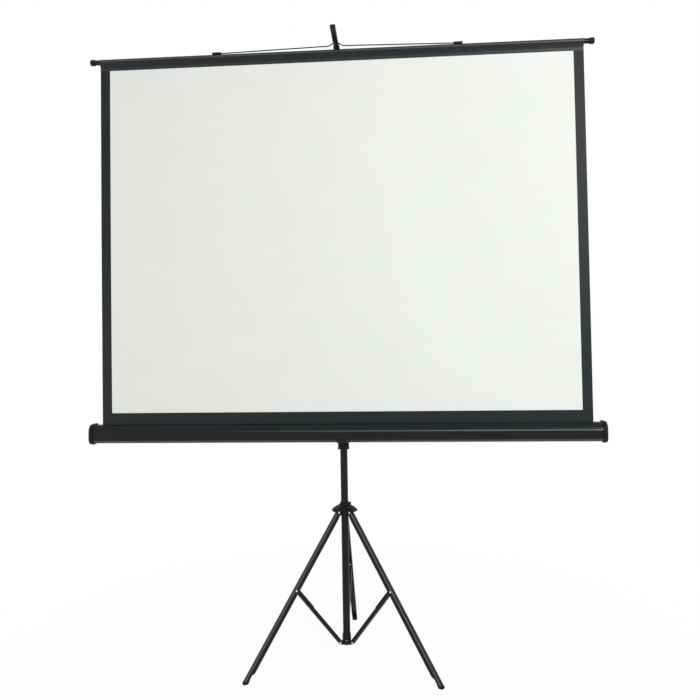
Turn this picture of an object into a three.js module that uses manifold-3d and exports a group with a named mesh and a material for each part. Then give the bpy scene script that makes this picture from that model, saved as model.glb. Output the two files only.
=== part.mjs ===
// Tripod projection screen, standing open with its cloth drawn up and hung on the keystone arm.
// Millimetres, +Z up, +X to the viewer's right, and the cloth faces -Y. The floor is z = 0.
import * as THREE from 'three';
import { mergeVertices } from 'three/addons/utils/BufferGeometryUtils.js';
import Module from 'manifold-3d';

const wasm = await Module();
wasm.setup();

// Fits and facets
const GAP = 0.3; // clearance between neighbouring pieces
const ROUND = 24; // sides of a tube
const SMALL_ROUND = 12; // sides of a pin, screw or hole
const OVERRUN = 5; // how far a cutting tool runs past the face that it cuts
const SAME_POINT = 1e-4; // corners closer than this are one corner

// Cloth
const VIEW_WIDTH = 1707; // white area, 84 inches across its diagonal at 4:3
const VIEW_HEIGHT = 1280;
const SIDE_BORDER = 36;
const UPPER_BORDER = 33.5; // from the white area to the middle of the slat
const LOWER_BORDER = 44; // from the top of the case to the white area
const CLOTH = 0.6; // thickness
const SEAM_DROP = 22; // from the middle of the slat to the pocket's seam

// Slat, its end knobs and the wire bail that hangs it
const SLAT_R = 9.5;
const SLAT_WALL = 1;
const SLAT_PAST_CLOTH = 17; // bare tube at each side of the cloth
const KNOB_LENGTH = 21;
const KNOB_NECK = 2; // straight neck before the flare
const KNOB_FLARE = 6; // to the full radius
const KNOB_RIM = 17; // to where the end is rounded off
const KNOB_R = 11.7;
const KNOB_END_R = 9;
const KNOB_SPIGOT = 20;
const WIRE_R = 2.1;
const WIRE_SIDES = 8;
const ANCHOR_X = 445; // from the mast to the middle of a wire anchor
const ANCHOR_LENGTH = 33;
const ANCHOR_WIDTH = 10;
const ANCHOR_HEIGHT = 7.8;
const ANCHOR_NOSE = 7.2; // height where the wire enters
const ANCHOR_SLOPE = 16; // length of the sloping top
const WIRE_IN_ANCHOR = 8;
const HUMP_HALF = 11; // half the level stretch where the wire lies on the arm
const HUMP_FOOT = 24.5; // where the wire's hump starts
const HUMP_FOOT_RISE = 23.5; // from the middle of the slat
const WIRE_STRAIGHT = 20; // level stretch where the wire leaves its anchor
const WIRE_BEND = 4; // length of a bend, each way

// Case, end caps and roller
const CASE_BOTTOM_Z = 805;
const CASE_HEIGHT = 65;
const CASE_DEPTH = 65;
const CASE_WALL = 1;
const UPPER_CHAMFER = 14;
const LOWER_CHAMFER = 11;
const SLOT = 12; // width of the cloth's slot
const CLOTH_AHEAD = 6; // from the middle of the case forward to the cloth
const BEAD_DROP = 20; // from the top of the case to the stiffening bead
const BEAD_HEIGHT = 5;
const BEAD_OUT = 2;
const BEAD_EDGE = 1.8; // height of the bead's sloping edges
const CASE_PAST_CLOTH = 37;
const CAP_PROUD = 5.5; // how far the cap stands out round the case
const CAP_LENGTH = 14;
const CAP_RIM = 6; // length of the rim at the cap's open end
const CAP_STEP = 1.5; // how far the rest of the cap draws in from its rim
const CAP_PLATE = 6;
const CAP_SCREW_RISE = 24; // from the middle of the cap
const ROLLER_R = 13;
const ROLLER_WALL = 1;
const ROLLER_SHORT = 13; // from the end of the roller to the end of the case
const WRAPS = 0.8; // cloth left on the roller
const PLUG_SPIGOT = 30;
const PLUG_FLANGE = 4;
const PIN_R = 4;
const PIN_DEPTH = 4; // how far a pin or tang enters its end cap
const TANG_WIDTH = 7;
const TANG_THICK = 3.5;
const SPRING_R = 9;
const SPRING_LENGTH = 420;
const ROD_COLLAR = 8; // length of the collar that holds the spring's inner end

// Mast
const MAST_R = 13.3;
const MAST_WALL = 1.2;
const MAST_TOP_Z = 1300;
const EXTENSION_WALL = 1;
const EXTENSION_OVERLAP = 220; // length of the extension inside the mast
const COLLAR_WALL = 4;
const COLLAR_DOWN = 22;
const COLLAR_UP = 20;
const LOCK_SCREW_R = 2.5;
const LOCK_BOSS_R = 6;
const LOCK_BOSS = 4; // length of a screw boss
const LOCK_KNOB_R = 11;
const LOCK_KNOB = 14;
const LOBES = 6;
const LOBE_POINTS = 4;
const LOBE_DEPTH = 1.4;

// Slide block and saddle that carry the case on the mast
const BLOCK_WALL = 5;
const BLOCK_WIDTH = 38;
const BLOCK_CORNER = 6;
const BLOCK_BELOW_CASE = 34;
const BLOCK_HEIGHT = 95;
const LIP = 1;
const LIP_HEIGHT = 4;
const BLOCK_SCREW_RISE = 16; // from the bottom of the block
const SADDLE = 2; // thickness
const SADDLE_WIDTH = 34;
const SADDLE_RISE = 20; // top of the saddle's back, above the middle of the case
const BOLT_R = 4;
const BOLT_HEAD_R = 8;
const BOLT_HEAD = 3;
const BOLT_DEPTH = 4; // how far the bolt enters the block

// Keystone arm and its bracket
const ARM_TILT = THREE.MathUtils.degToRad(9);
const ARM_LENGTH = 180;
const ARM_WIDTH = 18.4;
const ARM_HEIGHT = 15;
const ARM_ABOVE_SLAT = 23.5; // pivot above the middle of the slat
const ARM_CORNER = 3;
const WIRE_ABOVE_MIDDLE = 1; // wire above the arm's middle line, in its notch
const NOTCH_PITCH = 35;
const NOTCHES = 3;
const ARM_PIN_R = 3;
const ARM_PIN_HEAD_R = 5;
const BRACKET_WALL = 1.5;
const BRACKET_BACK = 12;
const BRACKET_FRONT = 44;
const CHEEK_TOP = 4.5; // above the pivot
const PLUG_HEAD = 6.5;
const PLUG_LENGTH = 45;

// Tripod
const LEG_AZIMUTHS = { rear: 90, front_left: 210, front_right: 330 };
const LEG_ANGLE = THREE.MathUtils.degToRad(33.8); // from the vertical
const LEG_LENGTH = 657; // hub pivot to the end of the foot
const FOOT_SINK = 5; // length of the foot's end that the floor cuts off
const LEG_WIDTH = 20;
const LEG_WALL = 1.5;
const LEG_OUT = 6; // pivot line to the outside of the web
const LEG_IN = 11; // pivot line to the edge of the flanks
const LEG_TOP_R = 9; // round end at the hub
const LEG_THROAT = 30; // from the hub pivot to where the flanks reach full depth
const LEG_TOE = 14; // end of the steel, from the end of the foot
const TOE_IN = 5; // pivot line to the edge of the flanks at the toe
const TOE_START = 42; // oblique cut of the flanks, from the end of the foot
const TOE_CUT = 11;
const FOOT_HEIGHT = 26;
const FOOT_IN = 9; // pivot line to the inside of the foot
const BRACE_ON_LEG = 306; // hub pivot to brace pivot
const BRACE_LENGTH = 273;
const BRACE_WIDTH = 13;
const BRACE_WALL = 1.2;
const BRACE_OUT = 5.2;
const BRACE_IN = 9.5;
const BRACE_DEEP_IN = 11.5; // flanks of the deeper end at the leg
const BRACE_STEP = 176; // from the base pivot to the deeper end
const BRACE_STEP_RAMP = 6;
const BRACE_END_R = 4;
const BRACE_END_TAPER = 16;
const BRACE_FOOT_TAPER = 9; // from the base pivot to where the flanks reach their depth
const RIVET_R = 2.4;
const RIVET_HEAD_R = 3.6;
const RIVET_HEAD = 1.6;
const PIVOT_GAP = 0.6; // each side of a lug

// Hub that slides on the mast
const HUB_PIVOT_R = 27;
const HUB_DOWN = 11; // sleeve below the pivots
const HUB_UP = 36.5; // sleeve above the pivots
const HUB_NECK_R = 16.4;
const HUB_LIP = 10; // height of the collar at the top
const HUB_TOP_R = 14.8; // top of the collar
const HUB_COLLAR_R = 19; // foot of the collar
const HUB_WAIST = 1; // how far the skirt draws in under the collar
const SKIRT_R = 47.3;
const SKIRT_WALL = 2;
const SKIRT_BOTTOM = 5; // above the pivots
const SKIRT_TOP = 9;
const FLARE_STEPS = 6;
const FLARE_SWELL = 0.7; // place of the flare's pull: share of the way out to the rim, and up to the neck
const SCALLOP_R = 30; // hollow in the skirt between two legs
const SCALLOP_IN = 21; // from the mast's axis to the hollow
const LUG_HALF = 3.5;
const LUG_ROOT = 7; // from the pivot in to where a lug is as deep as its sleeve
const HUB_LUG_UP = 20; // top of a hub lug, in the skirt
const CLAMP_SCREW_R = 2;
const CLAMP_HEAD_R = 4;
const CLAMP_HEAD = 4.5;
const CLAMP_DEPTH = 4;
const CLAMP_BOSS_R = 4.6;

// Base bracket on the foot of the mast
const BASE_PIVOT_R = 28.7;
const BASE_WALL = 2.4;
const BASE_TOP_WALL = 1.2;
const BASE_SHOULDER = 12; // from the pivots up to where the sleeve draws in
const BASE_DOWN = 9.5;
const BASE_UP = 28.6;
const BASE_LUG_UP = 5; // top of a base lug
const BASE_RIVET_RISE = 7; // fixing rivet above the pivots
const BASE_RIVET_HEAD_R = 3.2;
const MAST_ABOVE_BASE_END = 3;
const BOTTOM_PLUG = 30;

// Small screws and rivets
const SCREW_R = 1.6;
const SCREW_HEAD_R = 3.2;
const SCREW_HEAD = 1.8;
const SCREW_DEPTH = 4;
const CROWN = 0.7; // flat middle of a head, as a share of its radius

// Places that follow from the sizes above
const clothHalf = VIEW_WIDTH / 2 + SIDE_BORDER;
const caseTop = CASE_BOTTOM_Z + CASE_HEIGHT;
const caseZ = CASE_BOTTOM_Z + CASE_HEIGHT / 2;
const slatZ = caseTop + LOWER_BORDER + VIEW_HEIGHT + UPPER_BORDER;
const slatHalf = clothHalf + SLAT_PAST_CLOTH;
const pocketR = SLAT_R + GAP + CLOTH;
const blockFront = -(MAST_R + GAP + BLOCK_WALL);
const blockBack = MAST_R + GAP + BLOCK_WALL;
const blockBottom = CASE_BOTTOM_Z - BLOCK_BELOW_CASE;
const caseBack = blockFront - GAP - SADDLE - GAP;
const caseY = caseBack - CASE_DEPTH / 2;
const screenY = caseY - CLOTH_AHEAD;
const wrapsR = ROLLER_R + GAP + WRAPS;
const rollerY = screenY + CLOTH / 2 + GAP + wrapsR;
const shellHalf = clothHalf + CASE_PAST_CLOTH;
const rollerHalf = shellHalf - ROLLER_SHORT;
const extensionR = MAST_R - MAST_WALL - GAP;
const armZ = slatZ + ARM_ABOVE_SLAT;
const wireAlongArm = (WIRE_ABOVE_MIDDLE * Math.sin(ARM_TILT) - screenY) / Math.cos(ARM_TILT);
const wireZ = armZ + wireAlongArm * Math.sin(ARM_TILT) + WIRE_ABOVE_MIDDLE * Math.cos(ARM_TILT);
const hubZ = LEG_LENGTH * Math.cos(LEG_ANGLE) - FOOT_SINK;
const bracePivotR = HUB_PIVOT_R + BRACE_ON_LEG * Math.sin(LEG_ANGLE);
const bracePivotZ = hubZ - BRACE_ON_LEG * Math.cos(LEG_ANGLE);
const braceAngle = Math.asin((bracePivotR - BASE_PIVOT_R) / BRACE_LENGTH);
const baseZ = bracePivotZ - BRACE_LENGTH * Math.cos(braceAngle);
const baseR = MAST_R + GAP + BASE_WALL;
const mastBottomZ = baseZ - BASE_DOWN + MAST_ABOVE_BASE_END;

// Finishes
const finish = (color, roughness, metalness) => ({ color, roughness, metalness });
const BLACK_PAINT = finish(0x26282a, 0.45, 0.3);
const BLACK_PLASTIC = finish(0x1f2123, 0.55, 0);
const RUBBER = finish(0x2b2b2b, 0.9, 0);
const BRIGHT_STEEL = finish(0xc9ccce, 0.3, 1);
const GREY_STEEL = finish(0x8d9092, 0.4, 1);
const WHITE_CLOTH = finish(0xe9ece8, 0.9, 0);

// One closed surface: shared corners merged, and no empty triangles.
function closed(geometry) {
  const bare = geometry.clone();
  bare.deleteAttribute('normal');
  bare.deleteAttribute('uv');
  const merged = mergeVertices(bare, SAME_POINT);
  const corners = merged.index.array;
  const kept = [];
  for (let i = 0; i < corners.length; i += 3) {
    const [a, b, c] = corners.slice(i, i + 3);
    if (a !== b && b !== c && c !== a) kept.push(a, b, c);
  }
  merged.setIndex(kept);
  return merged;
}

function toSolid(geometry) {
  const mesh = closed(geometry);
  return new wasm.Manifold(
    new wasm.Mesh({
      numProp: 3,
      vertProperties: new Float32Array(mesh.attributes.position.array),
      triVerts: new Uint32Array(mesh.index.array),
    }),
  );
}

function fromSolid(solid) {
  const mesh = solid.getMesh();
  const geometry = new THREE.BufferGeometry();
  geometry.setAttribute('position', new THREE.BufferAttribute(mesh.vertProperties.slice(), 3));
  geometry.setIndex(new THREE.BufferAttribute(mesh.triVerts.slice(), 1));
  return geometry;
}

function join(...pieces) {
  return fromSolid(pieces.map(toSolid).reduce((whole, piece) => whole.add(piece)));
}

function cut(piece, ...tools) {
  return fromSolid(tools.map(toSolid).reduce((rest, tool) => rest.subtract(tool), toSolid(piece)));
}

// A body turned about Z from its [radius, height] outline.
function turned(outline, sides = ROUND) {
  const points = outline.map(([radius, height]) => new THREE.Vector2(radius, height));
  return closed(new THREE.LatheGeometry(points, sides).rotateX(Math.PI / 2));
}

function rod(radius, from, to, sides = ROUND) {
  const outline = [
    [0, from],
    [radius, from],
    [radius, to],
    [0, to],
  ];
  return turned(outline, sides);
}

function pipe(inner, outer, from, to, sides = ROUND) {
  const outline = [
    [inner, from],
    [outer, from],
    [outer, to],
    [inner, to],
    [inner, from],
  ];
  return turned(outline, sides);
}

const ontoX = (geometry) => geometry.rotateY(Math.PI / 2);
const ontoY = (geometry) => geometry.rotateX(-Math.PI / 2);

function box(low, high) {
  const size = high.map((value, i) => value - low[i]);
  const middle = high.map((value, i) => (value + low[i]) / 2);
  return new THREE.BoxGeometry(...size).translate(...middle);
}

const outlineShape = (points) => new THREE.Shape(points.map(([x, y]) => new THREE.Vector2(x, y)));

function withHoles(shape, radius, centres) {
  for (const [x, y] of centres) {
    shape.holes.push(new THREE.Path().absarc(x, y, radius, 0, 2 * Math.PI, true));
  }
  return shape;
}

function extruded(shape, depth) {
  const settings = { depth, bevelEnabled: false, curveSegments: SMALL_ROUND / 2 };
  return new THREE.ExtrudeGeometry(shape, settings);
}

// A (y, z) outline extruded along X.
function prismX(shape, from, to) {
  const turn = new THREE.Matrix4().makeBasis(
    new THREE.Vector3(0, 1, 0),
    new THREE.Vector3(0, 0, 1),
    new THREE.Vector3(1, 0, 0),
  );
  return extruded(shape, to - from)
    .translate(0, 0, from)
    .applyMatrix4(turn);
}

// An (x, z) outline extruded along Y.
function prismY(shape, from, to) {
  return extruded(shape, to - from)
    .translate(0, 0, -to)
    .rotateX(Math.PI / 2);
}

// A rivet along Z with a head at each end; its grip is what it holds together.
function rivet(radius, headRadius, head, grip) {
  const end = grip / 2;
  const outline = [
    [0, -end - head],
    [headRadius * CROWN, -end - head],
    [headRadius, -end],
    [radius, -end],
    [radius, end],
    [headRadius, end],
    [headRadius * CROWN, end + head],
    [0, end + head],
  ];
  return turned(outline, SMALL_ROUND);
}

// A screw along Z: its head stands on z = 0 and its shank goes down.
function screw(radius, headRadius, head, depth) {
  const outline = [
    [0, -depth],
    [radius, -depth],
    [radius, 0],
    [headRadius, 0],
    [headRadius * CROWN, head],
    [0, head],
  ];
  return turned(outline, SMALL_ROUND);
}

// Chamfered outline of the case in (y, z), grown by an offset, from the front of the top round to the back.
function caseOutline(offset) {
  const diagonal = offset * (2 - Math.SQRT2);
  const upper = UPPER_CHAMFER + diagonal;
  const lower = LOWER_CHAMFER + diagonal;
  const front = caseY - CASE_DEPTH / 2 - offset;
  const back = caseY + CASE_DEPTH / 2 + offset;
  const bottom = CASE_BOTTOM_Z - offset;
  const top = caseTop + offset;
  return {
    upperFront: [
      [front + upper, top],
      [front, top - upper],
    ],
    lowerFront: [
      [front, bottom + lower],
      [front + lower, bottom],
    ],
    lowerBack: [
      [back - lower, bottom],
      [back, bottom + lower],
    ],
    upperBack: [
      [back, top - upper],
      [back - upper, top],
    ],
  };
}

const wholeOutline = (o) => [...o.upperFront, ...o.lowerFront, ...o.lowerBack, ...o.upperBack];

function caseShell() {
  const outer = caseOutline(0);
  const inner = caseOutline(-CASE_WALL);
  const front = caseY - CASE_DEPTH / 2;
  const beadTop = caseTop - BEAD_DROP;
  const bead = [
    [front, beadTop],
    [front - BEAD_OUT, beadTop - BEAD_EDGE],
    [front - BEAD_OUT, beadTop - BEAD_HEIGHT + BEAD_EDGE],
    [front, beadTop - BEAD_HEIGHT],
  ];
  const outside = [
    [screenY - SLOT / 2, caseTop],
    ...outer.upperFront,
    ...bead,
    ...outer.lowerFront,
    ...outer.lowerBack,
    ...outer.upperBack,
    [screenY + SLOT / 2, caseTop],
  ];
  const inside = [
    [screenY - SLOT / 2, caseTop - CASE_WALL],
    ...wholeOutline(inner),
    [screenY + SLOT / 2, caseTop - CASE_WALL],
  ];
  const shape = outlineShape([...outside, ...inside.reverse()]);
  const boltHole = ontoY(rod(BOLT_R + GAP, caseBack - OVERRUN, caseBack + OVERRUN, SMALL_ROUND));
  const screwHole = rod(SCREW_R + GAP, -OVERRUN, OVERRUN, SMALL_ROUND).translate(0, caseY, CASE_BOTTOM_Z);
  return cut(prismX(shape, -shellHalf, shellHalf), boltHole.translate(0, 0, caseZ), screwHole);
}

// A cap for the end at +X or -X: a plate with a skirt over the end of the case, and a rim round the skirt.
function endCap(side, pinHole) {
  const plateInside = shellHalf + GAP;
  const plateOutside = plateInside + CAP_PLATE;
  const skirtEnd = plateOutside - CAP_LENGTH;
  const span = (from, to) => [side * from, side * to].sort((a, b) => a - b);
  const fitted = (offset, ends) => prismX(outlineShape(wholeOutline(caseOutline(offset))), ...ends);
  const rim = fitted(CAP_PROUD, span(skirtEnd, skirtEnd + CAP_RIM));
  const body = join(rim, fitted(CAP_PROUD - CAP_STEP, span(skirtEnd, plateOutside)));
  const hollow = fitted(GAP, span(skirtEnd - OVERRUN, plateInside));
  const [beadLeft, beadRight] = span(skirtEnd - OVERRUN, plateInside);
  const beadGroove = box(
    [beadLeft, caseY - CASE_DEPTH / 2 - BEAD_OUT - GAP, caseTop - BEAD_DROP - BEAD_HEIGHT - GAP],
    [beadRight, caseY, caseTop - BEAD_DROP + GAP],
  );
  const screwHoles = [-1, 1].map((height) => {
    const hole = rod(SCREW_R + GAP, -SCREW_DEPTH - GAP, SCREW_DEPTH, SMALL_ROUND);
    return onCap(hole, side, height);
  });
  return cut(body, hollow, beadGroove, pinHole, ...screwHoles);
}

// A piece made along +Z goes to its place on the outside of a cap: above or below the middle.
function onCap(piece, side, height) {
  return ontoX(piece)
    .rotateZ(side > 0 ? 0 : Math.PI)
    .translate(side * (shellHalf + GAP + CAP_PLATE), caseY, caseZ + height * CAP_SCREW_RISE);
}

function capScrew(side, height) {
  return onCap(screw(SCREW_R, SCREW_HEAD_R, SCREW_HEAD, SCREW_DEPTH).translate(0, 0, GAP), side, height);
}

const pinTip = shellHalf + GAP + PIN_DEPTH;

function pinHole() {
  const hole = rod(PIN_R + GAP, shellHalf - OVERRUN, pinTip + GAP, SMALL_ROUND);
  return ontoX(hole).rotateZ(Math.PI).translate(0, rollerY, caseZ);
}

function tangHole() {
  return box(
    [shellHalf - OVERRUN, rollerY - TANG_THICK / 2 - GAP, caseZ - TANG_WIDTH / 2 - GAP],
    [pinTip + GAP, rollerY + TANG_THICK / 2 + GAP, caseZ + TANG_WIDTH / 2 + GAP],
  );
}

// Plug with the free pin, at the left end of the roller.
function pinPlug() {
  const inside = ROLLER_R - ROLLER_WALL - GAP;
  const outline = [
    [0, rollerHalf - PLUG_SPIGOT],
    [inside, rollerHalf - PLUG_SPIGOT],
    [inside, rollerHalf + GAP],
    [ROLLER_R, rollerHalf + GAP],
    [ROLLER_R, rollerHalf + GAP + PLUG_FLANGE],
    [PIN_R, rollerHalf + GAP + PLUG_FLANGE],
    [PIN_R, pinTip],
    [0, pinTip],
  ];
  return ontoX(turned(outline)).rotateZ(Math.PI).translate(0, rollerY, caseZ);
}

// Plug that turns on the spring's rod, at the right end of the roller.
function springPlug() {
  const inside = ROLLER_R - ROLLER_WALL - GAP;
  const bore = PIN_R + GAP;
  const outline = [
    [bore, rollerHalf - PLUG_SPIGOT],
    [inside, rollerHalf - PLUG_SPIGOT],
    [inside, rollerHalf + GAP],
    [ROLLER_R, rollerHalf + GAP],
    [ROLLER_R, rollerHalf + GAP + PLUG_FLANGE],
    [bore, rollerHalf + GAP + PLUG_FLANGE],
    [bore, rollerHalf - PLUG_SPIGOT],
  ];
  return ontoX(turned(outline)).translate(0, rollerY, caseZ);
}

const springOuterEnd = rollerHalf - PLUG_SPIGOT - GAP;
const springInnerEnd = springOuterEnd - SPRING_LENGTH;

// Fixed rod: a collar for the spring's inner end, and a flat tang that the right end cap holds.
function springRod() {
  const collarEnd = springInnerEnd - GAP;
  const shoulder = shellHalf - GAP;
  const outline = [
    [0, collarEnd - ROD_COLLAR],
    [SPRING_R, collarEnd - ROD_COLLAR],
    [SPRING_R, collarEnd],
    [PIN_R, collarEnd],
    [PIN_R, shoulder],
    [0, shoulder],
  ];
  const tang = box(
    [shoulder - OVERRUN, -TANG_THICK / 2, -TANG_WIDTH / 2],
    [pinTip, TANG_THICK / 2, TANG_WIDTH / 2],
  );
  return join(ontoX(turned(outline)), tang).translate(0, rollerY, caseZ);
}

function alongRoller(inner, outer, from, to) {
  return ontoX(pipe(inner, outer, from, to)).translate(0, rollerY, caseZ);
}

// Cloth from the roller up to the slat, which lies in a pocket along its top.
function cloth() {
  const half = CLOTH / 2;
  const innerR = pocketR - CLOTH;
  const seamZ = slatZ - SEAM_DROP;
  const lean = (radius) => Math.acos(radius / SEAM_DROP) - Math.PI / 2;
  const shape = new THREE.Shape();
  shape.moveTo(screenY - half, caseZ);
  shape.lineTo(screenY + half, caseZ);
  shape.lineTo(screenY + half, seamZ);
  shape.absarc(screenY, slatZ, pocketR, lean(pocketR), Math.PI - lean(pocketR), false);
  shape.lineTo(screenY - half, seamZ);
  const hole = new THREE.Path();
  hole.absarc(screenY, slatZ, innerR, Math.PI - lean(innerR), lean(innerR), true);
  hole.lineTo(screenY, seamZ + CLOTH);
  shape.holes.push(hole);
  return prismX(shape, -clothHalf, clothHalf);
}

function slatTube() {
  return ontoX(pipe(SLAT_R - SLAT_WALL, SLAT_R, -slatHalf, slatHalf)).translate(0, screenY, slatZ);
}

// Plug with a barrel-shaped knob, in the end of the slat.
function slatKnob(side) {
  const outline = [
    [0, slatHalf - KNOB_SPIGOT],
    [SLAT_R - SLAT_WALL - GAP, slatHalf - KNOB_SPIGOT],
    [SLAT_R - SLAT_WALL - GAP, slatHalf + GAP],
    [SLAT_R, slatHalf + GAP],
    [SLAT_R, slatHalf + KNOB_NECK],
    [KNOB_R, slatHalf + KNOB_FLARE],
    [KNOB_R, slatHalf + KNOB_RIM],
    [KNOB_END_R, slatHalf + KNOB_LENGTH],
    [0, slatHalf + KNOB_LENGTH],
  ];
  const plug = ontoX(turned(outline)).rotateZ(side > 0 ? 0 : Math.PI);
  return plug.translate(0, screenY, slatZ);
}

const anchorBottom = slatZ + pocketR + GAP;
const anchorWireZ = anchorBottom + ANCHOR_HEIGHT / 2;
const wireEndX = ANCHOR_X - ANCHOR_LENGTH / 2 + WIRE_IN_ANCHOR;

// Clip on the slat that holds one end of the wire.
function bailAnchor(side) {
  const half = ANCHOR_LENGTH / 2;
  const outline = [
    [-half, 0],
    [half, 0],
    [half, ANCHOR_HEIGHT],
    [-half + ANCHOR_SLOPE, ANCHOR_HEIGHT],
    [-half, ANCHOR_NOSE],
  ];
  const block = prismY(outlineShape(outline), -ANCHOR_WIDTH / 2, ANCHOR_WIDTH / 2)
    .rotateZ(side > 0 ? 0 : Math.PI)
    .translate(side * ANCHOR_X, screenY, anchorBottom);
  const wireHole = ontoX(rod(WIRE_R + GAP, 0, wireEndX + GAP, SMALL_ROUND))
    .rotateZ(side > 0 ? 0 : Math.PI)
    .translate(0, screenY, anchorWireZ);
  return cut(block, wireHole);
}

// A path that passes through its points in turn, for an extrusion with one step from each to the next.
class RoutePath extends THREE.Curve {
  constructor(points) {
    super();
    this.points = points;
  }

  getPointAt(u, target = new THREE.Vector3()) {
    return target.copy(this.points[Math.round(u * (this.points.length - 1))]);
  }

  getTangentAt(u, target = new THREE.Vector3()) {
    const last = this.points.length - 1;
    const i = Math.round(u * last);
    const before = this.points[Math.max(i - 1, 0)];
    const after = this.points[Math.min(i + 1, last)];
    return target.subVectors(after, before).normalize();
  }
}

// Each corner of a route becomes a short bend of three points.
function bent(corners, bend) {
  const route = [corners[0]];
  for (let i = 1; i < corners.length - 1; i++) {
    const before = corners[i - 1].clone().sub(corners[i]).setLength(bend).add(corners[i]);
    const after = corners[i + 1].clone().sub(corners[i]).setLength(bend).add(corners[i]);
    const curve = new THREE.QuadraticBezierCurve3(before, corners[i], after);
    route.push(before, curve.getPoint(0.5), after);
  }
  route.push(corners[corners.length - 1]);
  return route;
}

// Wire bail: level from each anchor, up to the arm, and over it in a hump.
function hangerBail() {
  const right = [
    [HUMP_HALF, wireZ],
    [HUMP_FOOT, slatZ + HUMP_FOOT_RISE],
    [wireEndX - WIRE_STRAIGHT, anchorWireZ],
    [wireEndX, anchorWireZ],
  ];
  const left = right.map(([x, z]) => [-x, z]).reverse();
  const corners = [...left, ...right].map(([x, z]) => new THREE.Vector3(x, screenY, z));
  const route = bent(corners, WIRE_BEND);
  const section = new THREE.Shape().absarc(0, 0, WIRE_R, 0, 2 * Math.PI, false);
  const settings = {
    steps: route.length - 1,
    extrudePath: new RoutePath(route),
    curveSegments: WIRE_SIDES / 2,
  };
  return new THREE.ExtrudeGeometry(section, settings);
}

// Bar with notches along its top, made level and then tilted up about its pivot.
function keystoneArm() {
  const half = ARM_HEIGHT / 2;
  const notchHalf = WIRE_R + GAP;
  const notchFloor = WIRE_ABOVE_MIDDLE - WIRE_R - GAP;
  const top = [];
  for (let i = 0; i < NOTCHES; i++) {
    const along = wireAlongArm + i * NOTCH_PITCH;
    top.push([-along + notchHalf, half], [-along + notchHalf, notchFloor]);
    top.push([-along - notchHalf, notchFloor], [-along - notchHalf, half]);
  }
  const shape = new THREE.Shape();
  shape.absarc(0, 0, half, -Math.PI / 2, Math.PI / 2, false);
  for (const [y, z] of top) shape.lineTo(y, z);
  shape.lineTo(-ARM_LENGTH + ARM_CORNER, half);
  shape.lineTo(-ARM_LENGTH, half - ARM_CORNER);
  shape.lineTo(-ARM_LENGTH, -half + ARM_CORNER);
  shape.lineTo(-ARM_LENGTH + ARM_CORNER, -half);
  withHoles(shape, ARM_PIN_R + GAP, [[0, 0]]);
  return prismX(shape, -ARM_WIDTH / 2, ARM_WIDTH / 2);
}

const cheekInside = ARM_WIDTH / 2 + GAP;
const cheekOutside = cheekInside + BRACKET_WALL;
const webTop = -ARM_HEIGHT / 2 - GAP;
const webBottom = webTop - BRACKET_WALL;
const plugHeadTop = webTop * Math.cos(ARM_TILT) - extensionR * Math.sin(ARM_TILT);
const extensionTop = plugHeadTop - PLUG_HEAD - GAP;

// Tilted channel under the arm, on a plug in the top of the extension tube.
function armBracket() {
  const outline = [
    [BRACKET_BACK, webBottom],
    [BRACKET_BACK, CHEEK_TOP],
    [-BRACKET_FRONT, CHEEK_TOP],
    [-BRACKET_FRONT, webBottom],
  ];
  const cheek = () => withHoles(outlineShape(outline), ARM_PIN_R + GAP, [[0, 0]]);
  const web = box([-cheekOutside, -BRACKET_FRONT, webBottom], [cheekOutside, BRACKET_BACK, webTop]);
  const right = prismX(cheek(), cheekInside, cheekOutside);
  const left = prismX(cheek(), -cheekOutside, -cheekInside);
  const channel = join(web, right, left).rotateX(-ARM_TILT);
  const plugR = extensionR - EXTENSION_WALL - GAP;
  const outlinePlug = [
    [0, extensionTop - PLUG_LENGTH],
    [plugR, extensionTop - PLUG_LENGTH],
    [plugR, extensionTop + GAP],
    [extensionR, extensionTop + GAP],
    [extensionR, plugHeadTop],
    [0, plugHeadTop],
  ];
  return join(channel, turned(outlinePlug));
}

function armPin() {
  return ontoX(rivet(ARM_PIN_R, ARM_PIN_HEAD_R, RIVET_HEAD, 2 * (cheekOutside + GAP)));
}

function extensionTube() {
  return pipe(extensionR - EXTENSION_WALL, extensionR, MAST_TOP_Z - EXTENSION_OVERLAP, armZ + extensionTop);
}

const collarR = MAST_R + GAP + COLLAR_WALL;
const lockZ = MAST_TOP_Z + COLLAR_UP / 2;

// Bush on the top of the mast, with a boss for its lock screw at the back.
function topCollar() {
  const outline = [
    [MAST_R + GAP, MAST_TOP_Z - COLLAR_DOWN],
    [collarR, MAST_TOP_Z - COLLAR_DOWN],
    [collarR, MAST_TOP_Z + COLLAR_UP],
    [extensionR + GAP, MAST_TOP_Z + COLLAR_UP],
    [extensionR + GAP, MAST_TOP_Z + GAP],
    [MAST_R + GAP, MAST_TOP_Z + GAP],
    [MAST_R + GAP, MAST_TOP_Z - COLLAR_DOWN],
  ];
  const boss = ontoY(rod(LOCK_BOSS_R, collarR - COLLAR_WALL / 2, collarR + LOCK_BOSS, SMALL_ROUND));
  const hole = ontoY(rod(LOCK_SCREW_R + GAP, extensionR, collarR + LOCK_BOSS + OVERRUN, SMALL_ROUND));
  return cut(join(turned(outline), boss.translate(0, 0, lockZ)), hole.translate(0, 0, lockZ));
}

// Lobed knob on a screw along +Y, whose tip presses on a tube.
function lockKnob(tip, seat) {
  const outline = [];
  const points = LOBES * LOBE_POINTS;
  for (let i = 0; i < points; i++) {
    const angle = (2 * Math.PI * i) / points;
    const radius = LOCK_KNOB_R - (LOBE_DEPTH * (1 - Math.cos(LOBES * angle))) / 2;
    outline.push([radius * Math.cos(angle), radius * Math.sin(angle)]);
  }
  const head = prismY(outlineShape(outline), seat + GAP, seat + GAP + LOCK_KNOB);
  return join(head, ontoY(rod(LOCK_SCREW_R, tip + GAP, seat + 2 * GAP, SMALL_ROUND)));
}

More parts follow.
